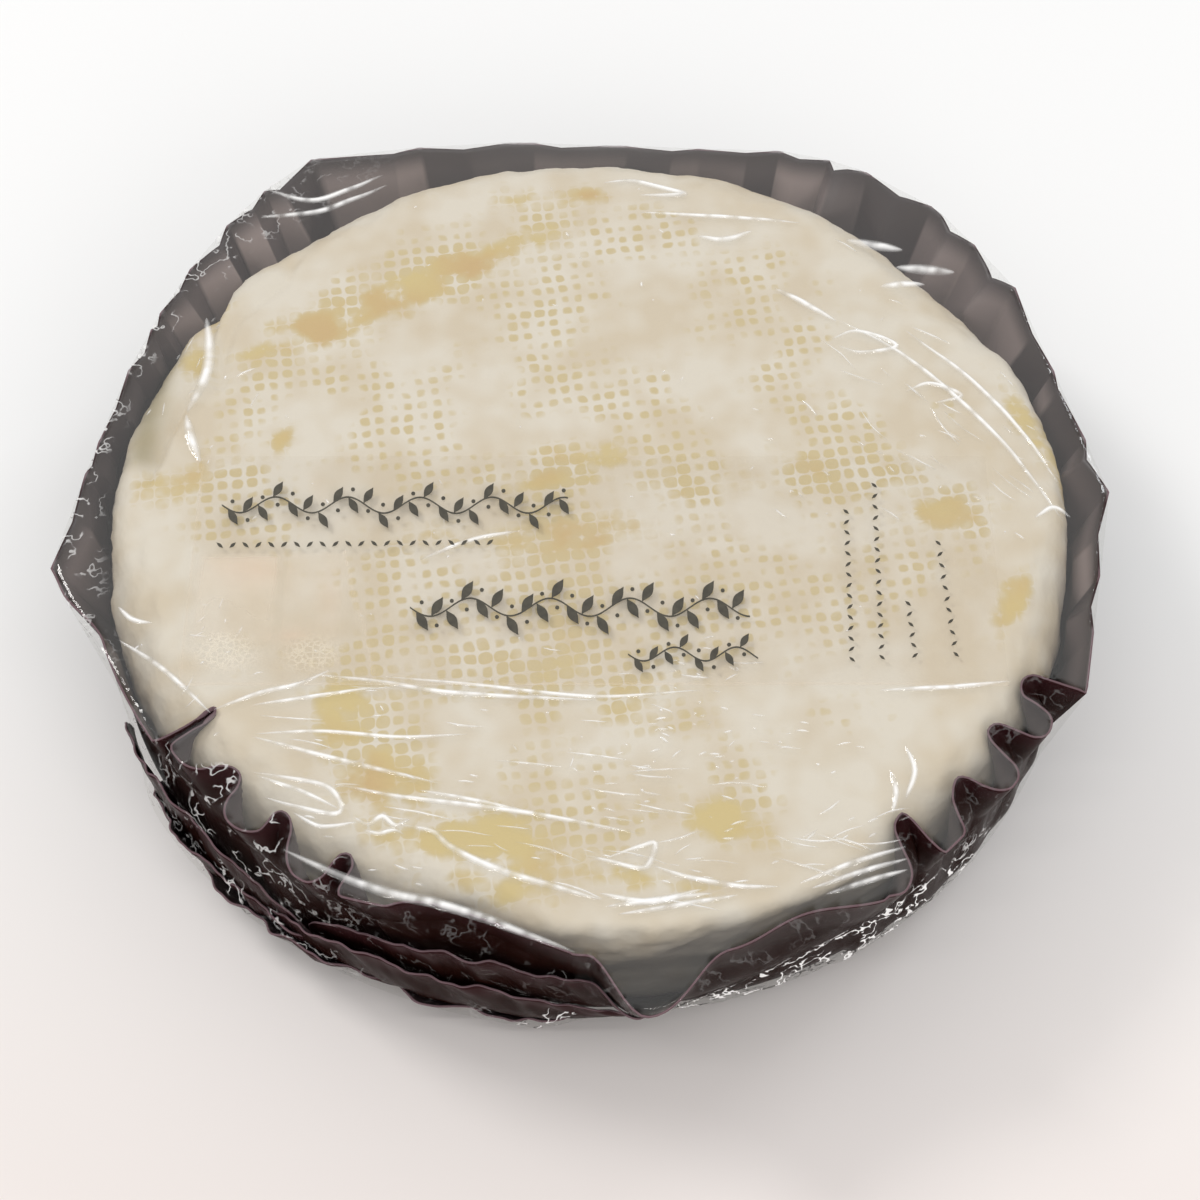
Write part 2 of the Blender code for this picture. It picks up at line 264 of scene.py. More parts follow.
def places_of(mesh):
    """The places of all its vertices."""
    places = np.empty(3 * len(mesh.vertices))
    mesh.vertices.foreach_get("co", places)
    return places.reshape(-1, 3)


def mark(mesh, **fields):
    """Keeps a number for each vertex under each name, for a material to read."""
    for name, values in fields.items():
        mesh.attributes.new(name, "FLOAT", "POINT").data.foreach_set("value", values)


def ease(fraction):
    """From 0 to 1, with a soft start and end."""
    return (1.0 - np.cos(math.pi * np.clip(fraction, 0.0, 1.0))) / 2.0


def polar(radius, azimuth, height):
    angle = np.radians(azimuth)
    return np.stack([AXIS_X + radius * np.cos(angle), AXIS_Y + radius * np.sin(angle), height], axis=1)


def outward(azimuth):
    """Level directions away from the wheel's axis."""
    return polar(np.ones(len(azimuth)), azimuth, np.zeros(len(azimuth))) - [AXIS_X, AXIS_Y, 0.0]


def turn_between(azimuth, other):
    """The angle between two azimuths, in degrees, from 0 to 180."""
    return np.abs((azimuth - other + 180.0) % 360.0 - 180.0)


def lumps(points, size, octaves, seed):
    """Smooth noise of about -1 to 1, whose lumps have a size in metres."""
    shift = Vector((seed * 7.31, seed * 3.17, seed * 5.71))
    return np.array([noise.fractal(Vector(point) / size + shift, 1.0, 2.0, octaves) for point in points])


def smooth_path(points, step):
    """Places along a smooth curve through points, a step apart."""
    points = [Vector(point) for point in points]
    ends = [points[0] * 2 - points[1]] + points + [points[-1] * 2 - points[-2]]
    path = []
    for before, start, end, after in zip(ends, ends[1:], ends[2:], ends[3:]):
        count = max(2, int((end - start).length / step))
        for number in range(count):
            t = number / count
            path.append(0.5 * (2 * start + (end - before) * t
                               + (2 * before - 5 * start + 4 * end - after) * t ** 2
                               + (3 * start - before - 3 * end + after) * t ** 3))
    return np.array(path + [points[-1]])


def traced(pixels, height, step):
    """Places along a smooth curve through pixels of the photograph, as seen at a height."""
    return smooth_path([seen_at(u, v, height) for u, v in pixels], step)


def away_from(points, path):
    """How far points are from a path, as seen from above."""
    return np.min(np.hypot(points[:, :1] - path[:, 0], points[:, 1:2] - path[:, 1]), axis=1)


def spot_strength(points, spots):
    """The strongest of soft oval spots at each point."""
    strongest = np.zeros(len(points))
    for (u, v), half_width, half_depth, strength, turn in spots:
        x, y = seen_at(u, v, WHEEL_TOP)
        angle = math.radians(turn)
        along = (points[:, 0] - x) * math.cos(angle) + (points[:, 1] - y) * math.sin(angle)
        aside = (points[:, 1] - y) * math.cos(angle) - (points[:, 0] - x) * math.sin(angle)
        spot = np.exp(-(along / half_width) ** 2 - (aside / half_depth) ** 2)
        strongest = np.maximum(strongest, strength * spot)
    return strongest


def front_flat(azimuth):
    return FRONT_FLAT * np.maximum(0.0, np.cos(np.radians(azimuth - FRONT_AZIMUTH))) ** 3


def wheel_line(up, shoulder):
    """The wheel's outline from the middle of its bottom to the middle of its top, at shares of its run."""
    quarter = np.radians(np.linspace(0.0, 90.0, 12))
    foot = [(WHEEL_RADIUS - SHOULDER * (1.0 - math.sin(angle)),
             WHEEL_BOTTOM + SHOULDER * (1.0 - math.cos(angle))) for angle in quarter]
    head = [(WHEEL_RADIUS - shoulder * (1.0 - math.cos(angle)),
             WHEEL_TOP - shoulder * (1.0 - math.sin(angle))) for angle in quarter]
    line = np.array([(0.0, WHEEL_BOTTOM)] + foot + head + [(0.0, WHEEL_TOP)])
    run = np.concatenate([[0.0], np.cumsum(np.hypot(*np.diff(line, axis=0).T))])
    along = np.interp(up, [0.0, 0.12, 1.0], [0.0, run[1], run[-1]])
    return np.interp(along, run, line[:, 0]), np.interp(along, run, line[:, 1])


def wheel_form(across, up):
    azimuth = 360.0 * across
    full = sum(strength * np.exp(-(turn_between(azimuth, middle) / reach) ** 6)
               for middle, reach, strength in FULL_PARTS)
    soft_radius, soft_height = wheel_line(up, SHOULDER)
    full_radius, full_height = wheel_line(up, FULL_SHOULDER)
    radius = soft_radius + (full_radius - soft_radius) * full
    height = soft_height + (full_height - soft_height) * full
    above = ease((height - WHEEL_TOP / 2.0) / SHOULDER)
    pressed = np.zeros_like(radius)
    for middle, half_width, depth in DENTS:
        dent = np.maximum(0.0, 1.0 - (turn_between(azimuth, middle) / half_width) ** 2) ** 2
        pressed += depth * dent * above * ease((radius - DENT_START) / DENT_FADE)
    inwards = pressed + front_flat(azimuth) * (1.0 - 0.7 * full * above) * radius / WHEEL_RADIUS
    points = polar(np.maximum(radius - inwards, 0.0), azimuth, height - pressed * DENT_SINK)
    side = np.clip((radius - WHEEL_RADIUS + SHOULDER) / SHOULDER, 0.0, 1.0)[:, None]
    normal = outward(azimuth) * side + np.array([0.0, 0.0, 1.0]) * (above[:, None] * 2.0 - 1.0) * (1.0 - side)
    bloom = 0.00022 * lumps(points, 0.009, 3, 1) + 0.00010 * lumps(points, 0.0025, 3, 2)
    bloom *= np.clip(radius / 0.004, 0.0, 1.0)
    for depth, half_width, pixels in GROOVES:
        path = traced(pixels, WHEEL_TOP - 0.001, 0.0005)
        groove = np.exp(-(away_from(points, path) / half_width) ** 2)
        bloom -= depth * groove * (height > WHEEL_TOP - 0.006) * ease((0.0560 - radius) / 0.002)
    on_shoulder = ease((radius - 0.0460) / 0.005) * above
    bloom += (0.00045 * lumps(points, 0.0070, 2, 3) + 0.00022 * lumps(points, 0.0018, 3, 4)) * on_shoulder
    points += normal * (bloom - SKIN_SINK)[:, None]
    excess = np.maximum(points[:, 2] - WHEEL_TOP + TOP_SOFTNESS, 0.0)
    points[:, 2] += TOP_SOFTNESS * (1.0 - np.exp(-excess / TOP_SOFTNESS)) - excess
    return points


cheese = shaped_grid("cheese", WHEEL_COLUMNS, WHEEL_ROWS, wheel_form)
places = places_of(cheese.data)
ragged = lumps(places, 0.0045, 4, 5)
ripeness = spot_strength(places, RIPE_SPOTS) * (1.0 + 0.9 * ragged) + 0.12 * ragged
ripeness *= places[:, 2] > WHEEL_TOP - 0.004
radii = np.hypot(places[:, 0] - AXIS_X, places[:, 1] - AXIS_Y)
flatness = ease((0.0480 - radii) / 0.007) * (places[:, 2] > WHEEL_TOP - 0.002)
patchy = 0.62 + 1.3 * lumps(places, 0.010, 3, 9) - 1.2 * spot_strength(places, BARE_SPOTS)
# Where the painted shade along the left shoulder's fold falls.
fold_shade_path = traced(FOLD_SHADE_PIXELS, WHEEL_TOP - 0.002, 0.0005)
stained = np.exp(-(away_from(places, fold_shade_path) / FOLD_SHADE_REACH) ** 2) * (places[:, 2] > 0.012)
mark(cheese.data, ripeness=ripeness, matted=flatness * np.clip(patchy, 0.0, 1.0), stained=stained)

MAT_PITCH = 0.00168
MAT_TURN = math.radians(8.0)
MAT_WOBBLE = (0.0010, 0.0010, 0.0)
RIND_WHITE = colour(224, 216, 200)
RIND_CREAM = colour(213, 199, 174)
RIPE_YELLOW = colour(210, 189, 128)
RIPE_ORANGE = colour(203, 172, 116)
MAT_YELLOW = colour(206, 188, 142)
# The colour of the painted shade in the left shoulder's fold.
OLIVE_FOLD_SHADE = colour(148, 136, 98)


def noise_on(tree, place, size, detail, roughness=0.5):
    """Soft noise, finer with a greater size number."""
    return add_node(tree, "TexNoise", Vector=place, Scale=size, Detail=detail, Roughness=roughness)


def marked(tree, name):
    """What mark has kept under a name."""
    return add_node(tree, "Attribute", attribute_name=name).outputs["Fac"]


def soft_ramp(tree, value, low, high):
    return ramp(tree, value, low, high, kind="SMOOTHSTEP")


def relief(tree, height, strength, distance):
    return add_node(tree, "Bump", Height=height, Strength=strength, Distance=distance)


rind, tree = new_material("bloomy_rind")
place = object_place(tree)
wobble = noise_on(tree, place, 260.0, 2.0).outputs["Color"]
wobbled = add_node(tree, "VectorMath", wobble, MAT_WOBBLE, place, operation="MULTIPLY_ADD")
turned = add_node(tree, "Mapping", wobbled, vector_type="TEXTURE", Rotation=(0.0, 0.0, MAT_TURN),
                  Scale=(MAT_PITCH, MAT_PITCH, 1.0))
cell = add_node(tree, "VectorMath", turned, operation="FRACTION")
centred = add_node(tree, "VectorMath", cell, (0.5, 0.5, 0.0), operation="SUBTRACT")
sides = add_node(tree, "SeparateXYZ", centred).outputs
cubes = [calculate(tree, "POWER", calculate(tree, "ABSOLUTE", sides[axis]), 3.0) for axis in "XY"]
from_middle = calculate(tree, "ADD", *cubes)
ripe_here = marked(tree, "ripeness")
square_size = ramp(tree, noise_on(tree, place, 420.0, 1.0), 0.30, 0.70, -0.004, 0.058)
swollen = calculate(tree, "MULTIPLY_ADD", ripe_here, 0.16, square_size)
square = soft_ramp(tree, calculate(tree, "SUBTRACT", swollen, from_middle), -0.018, 0.030)
torn = noise_on(tree, place, 330.0, 2.0, 0.7)
mat_here = calculate(tree, "ADD", calculate(tree, "MAXIMUM", ripe_here, marked(tree, "matted")), torn)
printed = calculate(tree, "MULTIPLY", square, soft_ramp(tree, mat_here, 0.60, 1.30), clamp=True)
bloom = ramp(tree, noise_on(tree, place, 110.0, 2.0, 0.7), 0.36, 0.62)
with_mat = blend(tree, printed, blend(tree, bloom, RIND_CREAM, RIND_WHITE), MAT_YELLOW)
shade = ramp(tree, noise_on(tree, place, 95.0, 1.0), 0.42, 0.66)
ripe_tone = blend(tree, shade, RIPE_YELLOW, RIPE_ORANGE)
torn_ripe = calculate(tree, "ADD", ripe_here, torn)
ripened = blend(tree, soft_ramp(tree, torn_ripe, 0.80, 1.65), with_mat, ripe_tone)
# Painted shade: the rind is darkened to olive along the left shoulder's fold.
skin = blend(tree, calculate(tree, "MULTIPLY", marked(tree, "stained"), 0.8), ripened, OLIVE_FOLD_SHADE)
fluff = relief(tree, noise_on(tree, place, 1500.0, 0.0), 0.35, 0.00012)
finish_opaque(tree, Base_Color=skin, Roughness=0.62, Normal=fluff)
cheese.data.materials.append(rind)
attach(cheese, "root")
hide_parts("cheese_wheel")

# The pleated case: one thin dark sheet, moulded with flutes, that the wheel stands in.
# Its loose rim is gathered into deep folds where the film pulls it, and a pale highlight is painted along its
# cut edge.
CASE_THICKNESS = 0.00022
CASE_FLOOR = 0.00095
CASE_BASE_RADIUS = 0.0498
CASE_FOOT = 0.0022
CASE_GAP = 0.0006
FLUTE_DEPTH = 0.0006
WALL_FLARE = 0.8
RIM_DROP_FRONT = 0.0002
RIM_DROP_BACK = 0.0020
RIM_DIP = 0.18

# Where the film pulls the rim out and where it lets it fall in: azimuth, radius.
RIM_PULLS = [(1.0, 0.0586), (10.0, 0.0572), (19.0, 0.0570), (31.5, 0.0596), (45.0, 0.0611),
             (58.0, 0.0609), (66.5, 0.0592), (88.5, 0.0563), (101.0, 0.0576), (113.0, 0.0594),
             (123.5, 0.0628), (133.5, 0.0614), (148.0, 0.0585), (161.0, 0.0568), (177.5, 0.0573),
             (189.0, 0.0601), (200.0, 0.0559), (214.5, 0.0557), (227.0, 0.0554), (239.0, 0.0560),
             (252.0, 0.0544), (260.0, 0.0546), (270.0, 0.0562), (275.5, 0.0632), (284.5, 0.0574),
             (292.5, 0.0561), (303.5, 0.0588), (320.0, 0.0577), (328.0, 0.0576), (334.5, 0.0590),
             (342.0, 0.0567), (350.5, 0.0566)]
TAUT_END, TAUT_START = 189.0, 303.5
TAUT_FADE = 6.0

# Right of the front corner, the lower wall bulges out to the film.
BELLY_START, BELLY_END = 276.0, 322.0
BELLY_TOP = 0.0175
BELLY_FADE = 0.008

# Crumpled runs of wall: first and last azimuth, number of faces, depth of their creases, how far they lean.
BACK_RUNS = [(1.0, 31.5, 6, 0.0024, 0.35), (31.5, 66.5, 10, 0.0034, 0.45), (66.5, 123.5, 10, 0.0014, 0.40),
             (123.5, 161.0, 12, 0.0032, 0.45), (161.0, 189.0, 6, 0.0022, 0.40)]
RIGHT_RUN = (342.0, 361.0, 4, 0.0022, 0.35)
FACE_COLUMNS = 10
# Painted light and shade: each face of a crumpled run is painted this share of the way to the lining's lit
# colour.
FACE_LIGHTS = (0.0, 0.10, 0.25, 0.50, 0.75, 1.0)
RIM_HOLD = 0.14
FOLD_START = 2.2
PLEAT_SEED = 7
PLAIN_STEP = 0.7
CASE_ROWS = 46
FLOOR_SHARE, CLIMB_SHARE = 0.10, 0.90

# The folded rim as the pixels of the photograph that it runs along, with rising azimuth.
LEFT_RIM = [(142, 741), (157, 739), (180, 728), (200, 716), (214, 708), (217, 713), (206, 722),
            (188, 733), (172, 745), (177, 756), (186, 764), (200, 768), (217, 765), (232, 766),
            (241, 774), (238, 787), (229, 798), (225, 810), (229, 821), (242, 829), (257, 830),
            (266, 822), (273, 813), (282, 810), (290, 816), (292, 829), (288, 846), (288, 862),
            (295, 875), (308, 881), (321, 876), (331, 863), (341, 853), (351, 854), (353, 866),
            (345, 879), (339, 890), (343, 901), (357, 908), (378, 907), (402, 901), (430, 902),
            (458, 909), (492, 921), (532, 937), (575, 953)]
RIGHT_RIM = [(889, 895), (904, 891), (911, 877), (909, 864), (901, 847), (894, 830), (895, 820), (902, 812),
             (912, 818), (922, 829), (933, 841), (946, 851), (958, 847), (964, 831), (958, 816), (952, 799),
             (953, 784), (958, 776), (969, 777), (985, 785), (1000, 789), (1012, 786), (1018, 776),
             (1015, 766), (1004, 755), (990, 740), (987, 730), (994, 723), (1004, 724), (1019, 730),
             (1035, 736), (1046, 734), (1051, 724), (1049, 715), (1036, 704), (1023, 696), (1020, 686),
             (1023, 678), (1033, 674), (1050, 679), (1068, 685), (1084, 690)]
RIM_STEP = 0.00042
RIM_REACH = 0.0100
TIP_RISE = 0.00040


def line_radius(azimuth, corners):
    """How far out a closed line of corners, x and y from the axis, lies at each azimuth."""
    angle = np.radians(azimuth)
    reach = np.full(len(angle), np.inf)
    for (ax, ay), (bx, by) in zip(corners, corners[1:] + corners[:1]):
        out = np.array([by - ay, ax - bx]) / math.hypot(bx - ax, by - ay)
        facing = out[0] * np.cos(angle) + out[1] * np.sin(angle)
        away = out[0] * ax + out[1] * ay
        reach = np.where(facing > 0.05, np.minimum(reach, away / np.maximum(facing, 0.05)), reach)
    return reach


def hull_of(points):
    """The outermost of points as a closed line that runs with rising azimuth."""
    corners = [tuple(points[index]) for index in convex_hull_2d([Vector(point) for point in points])]
    return sorted(corners, key=lambda corner: math.atan2(corner[1], corner[0]))


PULL_HULL = hull_of([(radius * math.cos(math.radians(azimuth)), radius * math.sin(math.radians(azimuth)))
                     for azimuth, radius in RIM_PULLS])


def rim_radius(azimuth):
    """The rim's outer line: straight from pull to pull where the film is taut, loose in front."""
    azimuth = azimuth % 360.0
    pulls = np.array([(RIM_PULLS[-1][0] - 360.0, RIM_PULLS[-1][1])] + RIM_PULLS
                     + [(RIM_PULLS[0][0] + 360.0, RIM_PULLS[0][1])])
    before = np.clip(np.searchsorted(pulls[:, 0], azimuth, side="right") - 1, 0, len(pulls) - 2)
    share = (azimuth - pulls[before, 0]) / (pulls[before + 1, 0] - pulls[before, 0])
    loose = pulls[before, 1] + (pulls[before + 1, 1] - pulls[before, 1]) * ease(share)
    taut = ease((TAUT_END + TAUT_FADE - azimuth) / TAUT_FADE) + ease((azimuth - TAUT_START) / TAUT_FADE)
    return loose + (line_radius(azimuth, PULL_HULL) - loose) * taut


def rim_height(azimuth):
    """How high the rim stands: a little lower at the back."""
    back = np.maximum(0.0, np.sin(np.radians(azimuth))) ** 8
    return WHEEL_TOP - RIM_DROP_FRONT - RIM_DROP_BACK * back


def wheel_side_radius(azimuth, height, gap):
    """How far out the wheel's side is, with a gap round it."""
    side = WHEEL_RADIUS - front_flat(azimuth)
    rise = np.maximum(height - (WHEEL_TOP - SHOULDER), (WHEEL_BOTTOM + SHOULDER) - height)
    rise = np.maximum(rise, 0.0)
    return side - SHOULDER + np.sqrt(np.maximum((SHOULDER + gap) ** 2 - rise ** 2, 0.0))


def flared_radius(base, rim, height, azimuth):
    """A wall that leans outwards, from its base to its rim."""
    return base + (rim - base) * (np.maximum(height, 0.0) / rim_height(azimuth)) ** WALL_FLARE


def faceted_columns(start, end, faces, depth, lean):
    """Upright lines of a crumpled run: azimuth, swing at the rim, fold, depth, sink, peak, tone of its
    painted light.
    """
    widths = np.array([chance.uniform(0.55, 1.45) for face in range(faces)])
    corners = start + (end - start) * np.concatenate([[0.0], np.cumsum(widths) / widths.sum()])
    swings = [chance.uniform(-lean, lean) * (end - start) / faces for corner in range(faces + 1)]
    swings[0] = swings[-1] = 0.0
    folds = [chance.uniform(0.45, 1.0) if corner % 2 else 0.0 for corner in range(faces + 1)]
    peaks = [chance.uniform(0.55, 0.90) for corner in range(faces + 1)]
    columns = []
    for face in range(faces):
        tone = chance.choice(FACE_LIGHTS)
        for step in range(FACE_COLUMNS):
            here = [values[face] + (values[face + 1] - values[face]) * step / FACE_COLUMNS
                    for values in (corners, swings, folds, peaks)]
            columns.append((here[0], here[1], here[2], depth, RIM_DIP, here[3], tone))
    return columns


def plain_columns(start, end):
    """Upright lines of a smooth run, in the same form."""
    steps = round((end - start) / PLAIN_STEP)
    return [(start + (end - start) * step / steps, 0.0, 0.0, 0.0, 0.0, 1.0, 0.3) for step in range(steps)]


def drawn_columns(pixels):
    """Upright lines whose upper ends follow the rim along pixels of the photograph."""
    path = traced(pixels, WHEEL_TOP - RIM_DROP_FRONT, RIM_STEP)
    aside, ahead = path[:, 0] - AXIS_X, path[:, 1] - AXIS_Y
    azimuth = np.degrees(np.arctan2(ahead, aside)) % 360.0
    foot = np.linspace(azimuth[0], azimuth[-1], len(path))
    fold = np.maximum(rim_radius(azimuth) - np.hypot(aside, ahead), 0.0) / RIM_REACH
    return [(*values, RIM_REACH, 0.0, 1.0, 0.3) for values in zip(foot, azimuth - foot, fold)][:-1]


def rim_columns():
    """All the sheet's upright lines, once round with rising azimuth."""
    columns = []
    for run in BACK_RUNS:
        columns += faceted_columns(*run)
    left, right = drawn_columns(LEFT_RIM), drawn_columns(RIGHT_RIM)
    columns += plain_columns(BACK_RUNS[-1][1], left[0][0]) + left
    columns += plain_columns(left[-1][0] + 0.1, right[0][0]) + right
    columns += plain_columns(right[-1][0] + 0.1, RIGHT_RUN[0]) + faceted_columns(*RIGHT_RUN)
    return np.array(columns)


chance = random.Random(PLEAT_SEED)
COLUMNS = rim_columns()


def case_points(column, height, dip):
    """Points of the sheet's inner face; dip is 1 on the rim, where inner folds sink, and 0 below."""
    azimuth, swing, fold, depth, sink, peak = column.T[:6]
    height = height - dip * sink * depth * fold
    share = height / rim_height(azimuth)
    azimuth = azimuth + swing * share ** 2
    nearest = wheel_side_radius(azimuth, height, CASE_GAP)
    flute = np.where(depth > 0.0, FLUTE_DEPTH, 0.0)
    rim = rim_radius(azimuth)
    belly = ease((azimuth - BELLY_START) / 6.0) * ease((BELLY_END - azimuth) / 8.0)
    belly *= ease((BELLY_TOP - height) / BELLY_FADE)
    rim = rim + (line_radius(azimuth, PULL_HULL) - rim) * belly
    outer = np.maximum(flared_radius(CASE_BASE_RADIUS, rim, height, azimuth), nearest + flute)
    past = (share - peak) / np.maximum(1.0 - peak, 0.01)
    inward = depth * np.where(share > peak, 1.0 - (1.0 - RIM_HOLD) * past, (share / peak) ** FOLD_START)
    radius = outer - fold * np.maximum(inward, flute)
    over = np.clip((nearest - radius) / 0.0004, 0.0, 1.0) * (dip > 0.9)
    radius = np.maximum(radius, nearest * (1.0 - over))
    return radius, azimuth, height + TIP_RISE * over


def case_form(across, up):
    index = np.rint(across * len(COLUMNS)).astype(int) % len(COLUMNS)
    column = COLUMNS[index]
    on_floor = np.clip(up / FLOOR_SHARE, 0.0, 1.0)
    climb = np.clip((up - FLOOR_SHARE) / CLIMB_SHARE, 0.0, 1.0)
    height = CASE_FOOT + (rim_height(column[:, 0]) - CASE_FOOT) * climb
    radius, azimuth, height = case_points(column, height, climb ** 4)
    floor_radius = CASE_BASE_RADIUS * on_floor
    flat = up < FLOOR_SHARE
    return polar(np.where(flat, floor_radius, radius), np.where(flat, column[:, 0], azimuth),
                 np.where(flat, CASE_FLOOR, height))


case = shaped_grid("pleated_sheet", len(COLUMNS), CASE_ROWS, case_form)
case_places = places_of(case.data)
azimuths = np.degrees(np.arctan2(case_places[:, 1] - AXIS_Y, case_places[:, 0] - AXIS_X))
across_here = np.empty(len(case_places))
case.data.attributes["across"].data.foreach_get("value", across_here)
# The marks place the band under the rim, the painted highlight on the edge, and each face's painted light and
# shade.
mark(case.data, below_rim=(rim_height(azimuths) - case_places[:, 2]) * 1000.0,
     panel=COLUMNS[np.rint(across_here * len(COLUMNS)).astype(int) % len(COLUMNS), 6])

CASE_DARK = colour(34, 15, 12)
CASE_BAND = colour(48, 24, 26)
# A painted highlight along the cut edge of the sheet and of its wall folds.
CASE_EDGE_HIGHLIGHT = colour(116, 94, 100)
CASE_LINING = colour(48, 36, 38)
# The lining's lit colour, for facets painted as if in light.
CASE_LINING_LIT = colour(146, 132, 130)


def crinkle_group():
    """A relief of sharp creases between flat facets, that the sheet, the film and the label share."""
    group = bpy.data.node_groups.new("crinkle", "ShaderNodeTree")
    for name, way, kind in (("Place", "INPUT", "Vector"), ("Fineness", "INPUT", "Float"),
                            ("Ridge", "OUTPUT", "Float")):
        group.interface.new_socket(name, in_out=way, socket_type="NodeSocket" + kind)
    given = group.nodes.new("NodeGroupInput")
    bent = noise_on(group, given.outputs["Place"], given.outputs["Fineness"], 2.0, 0.55)
    folded = calculate(group, "ABSOLUTE", calculate(group, "SUBTRACT", bent, 0.5))
    ridge = calculate(group, "MULTIPLY_ADD", folded, -5.0, 1.0, clamp=True)
    feed(group, group.nodes.new("NodeGroupOutput").inputs["Ridge"], ridge)
    return group


CRINKLE = crinkle_group()


def crinkled(tree, fineness):
    """A node of the shared relief on an object's own coordinates."""
    node = tree.nodes.new("ShaderNodeGroup")
    node.node_tree = CRINKLE
    feed(tree, node.inputs["Place"], object_place(tree))
    feed(tree, node.inputs["Fineness"], fineness)
    return node


def sheet_material(name, body_colour, lit_colour, band_colour, shine):
    """One side of the sheet: facets with painted light and shade of differing strength, a paler band under
    the rim, and a pale highlight painted along the cut edge.
    """
    material, tree = new_material(name)
    depth_here = marked(tree, "below_rim")
    # Painted light and shade: facets go from the body colour towards the lit colour.
    panels = blend(tree, marked(tree, "panel"), body_colour, lit_colour)
    banded = blend(tree, soft_ramp(tree, depth_here, 0.4, 3.4), band_colour, panels)
    # Painted highlight: a pale line along the very top of the rim and of each wall fold.
    edge_lit = blend(tree, ramp(tree, depth_here, 0.02, 0.10), CASE_EDGE_HIGHLIGHT, banded)
    finish_opaque(tree, Base_Color=edge_lit, Roughness=0.36, Specular_IOR_Level=shine,
                  Normal=relief(tree, crinkled(tree, 60.0), 0.18, 0.0004))
    return material


def give_thickness(piece):
    """Makes the sheet's inner face a wall, with the outside and the inside in their own materials."""
    piece.data.materials.append(case_outside)
    piece.data.materials.append(case_inside)
    shell = piece.modifiers.new("Thickness", "SOLIDIFY")
    shell.thickness = CASE_THICKNESS
    shell.offset = 1.0
    shell.material_offset = 1
    bpy.ops.object.modifier_apply(modifier="Thickness")


case_inside = sheet_material("case_inside", CASE_LINING, CASE_LINING_LIT, CASE_LINING, 0.40)
case_outside = sheet_material("case_outside", CASE_DARK, CASE_DARK, CASE_BAND, 0.05)
give_thickness(case)
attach(case, "root")
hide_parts("pleated_case")

# Loose folds of the sheet's rim that were pressed flat on its wall, at the front left.
# Each is the same dark sheet, tucked under at its foot and standing free along its upper edge.

# Each fold: first and last azimuth, its free edge's height, its foot's height, how far it stands out.
WALL_FOLDS = [(237.0, 276.0, 0.0184, 0.0095, 0.0011), (227.0, 275.0, 0.0134, 0.0050, 0.0018),
              (212.0, 270.0, 0.0082, 0.0004, 0.0026), (200.0, 238.0, 0.0165, 0.0060, 0.0012),
              (206.0, 244.0, 0.0110, 0.0010, 0.0018)]
FOLD_COLUMNS = 170
FOLD_ROWS = 16


def wall_radius(azimuth, height):
    """The outer face of the sheet's wall."""
    line = flared_radius(CASE_BASE_RADIUS, rim_radius(azimuth), height, azimuth)
    return np.maximum(line, wheel_side_radius(azimuth, height, CASE_GAP) + FLUTE_DEPTH) + CASE_THICKNESS


def full_body(share):
    """Full along its middle, and nothing at its two ends."""
    return np.sin(math.pi * np.clip(share, 0.004, 0.996)) ** 0.5


fold_sheets = []
for number, (first, last, edge_height, foot_height, stand) in enumerate(WALL_FOLDS):

    def fold_form(across, up):
        azimuth = first + (last - first) * across
        ripple = np.column_stack([across * 5.0, np.full(len(across), number * 4.0), 0.0 * across])
        wavy = lumps(ripple, 1.0, 3, 40)
        drape = lumps(ripple * [2.6, 1.0, 1.0] + np.outer(up, [0.9, 0.0, 1.1]), 1.0, 2, 41)
        body = full_body(across)
        top = foot_height + (edge_height - foot_height) * body + 0.0020 * wavy * body
        height = foot_height + (top - foot_height) * up
        out = 0.00012 + stand * body * (0.75 + 0.4 * wavy + 0.5 * drape) * (0.45 + 0.55 * up ** 1.6)
        out = np.maximum(out, 0.00012)
        return polar(wall_radius(azimuth, height) + out, azimuth, height)

    sheet = shaped_grid("wall_fold", FOLD_COLUMNS, FOLD_ROWS, fold_form)
    heights = places_of(sheet.data)[:, 2].reshape(FOLD_ROWS + 1, FOLD_COLUMNS + 1)
    mark(sheet.data, below_rim=((heights[-1] - heights) * 1000.0).ravel())
    fold_sheets.append(sheet)
for sheet in fold_sheets:
    sheet.select_set(True)
bpy.context.view_layer.objects.active = fold_sheets[0]
bpy.ops.object.join()
folds = bpy.context.active_object
folds.name = "wall_folds"
give_thickness(folds)
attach(folds, "root")

# The clear film: stretch film drawn tight over the rim and the top, and gathered underneath.
# It is stuck to nothing, so it spans the case's hollows in straight runs and wrinkles where it was pulled.
FILM_GAP = 0.00018
FILM_COLUMNS = 560
FILM_TOP = 0.02500
FILM_WALL_FOOT = 0.0508
FILM_FLOOR = 0.00005
FILM_HOLE = 0.004
FILM_ROWS = 160
SLOPE_START = 0.0470
FULL_CRINKLE = 1.1
CRINKLE_RISE = 0.00055

# The film's grid runs from its gathered underside up the wall and over the top, in these shares.
UNDER_SHARE, WALL_SHARE, TOP_SHARE = 0.15, 0.40, 0.45
WALL_END = 0.55
rim_r, rim_az, rim_z = case_points(COLUMNS, rim_height(COLUMNS[:, 0]), 1.0)
rim_angle = np.radians(rim_az)
RIM_HULL = hull_of(np.stack([rim_r * np.cos(rim_angle), rim_r * np.sin(rim_angle)], axis=1))
RIM_LINE = np.stack([rim_r * np.cos(rim_angle), rim_r * np.sin(rim_angle)], axis=1)
FILM_AZIMUTHS = np.arange(0.0, 360.0, 0.25)
SHARP = line_radius(FILM_AZIMUTHS, RIM_HULL)
ROUND = np.ones(9) / 9.0
FILM_RADII = np.convolve(np.concatenate([SHARP[-4:], SHARP, SHARP[:4]]), ROUND, mode="valid")


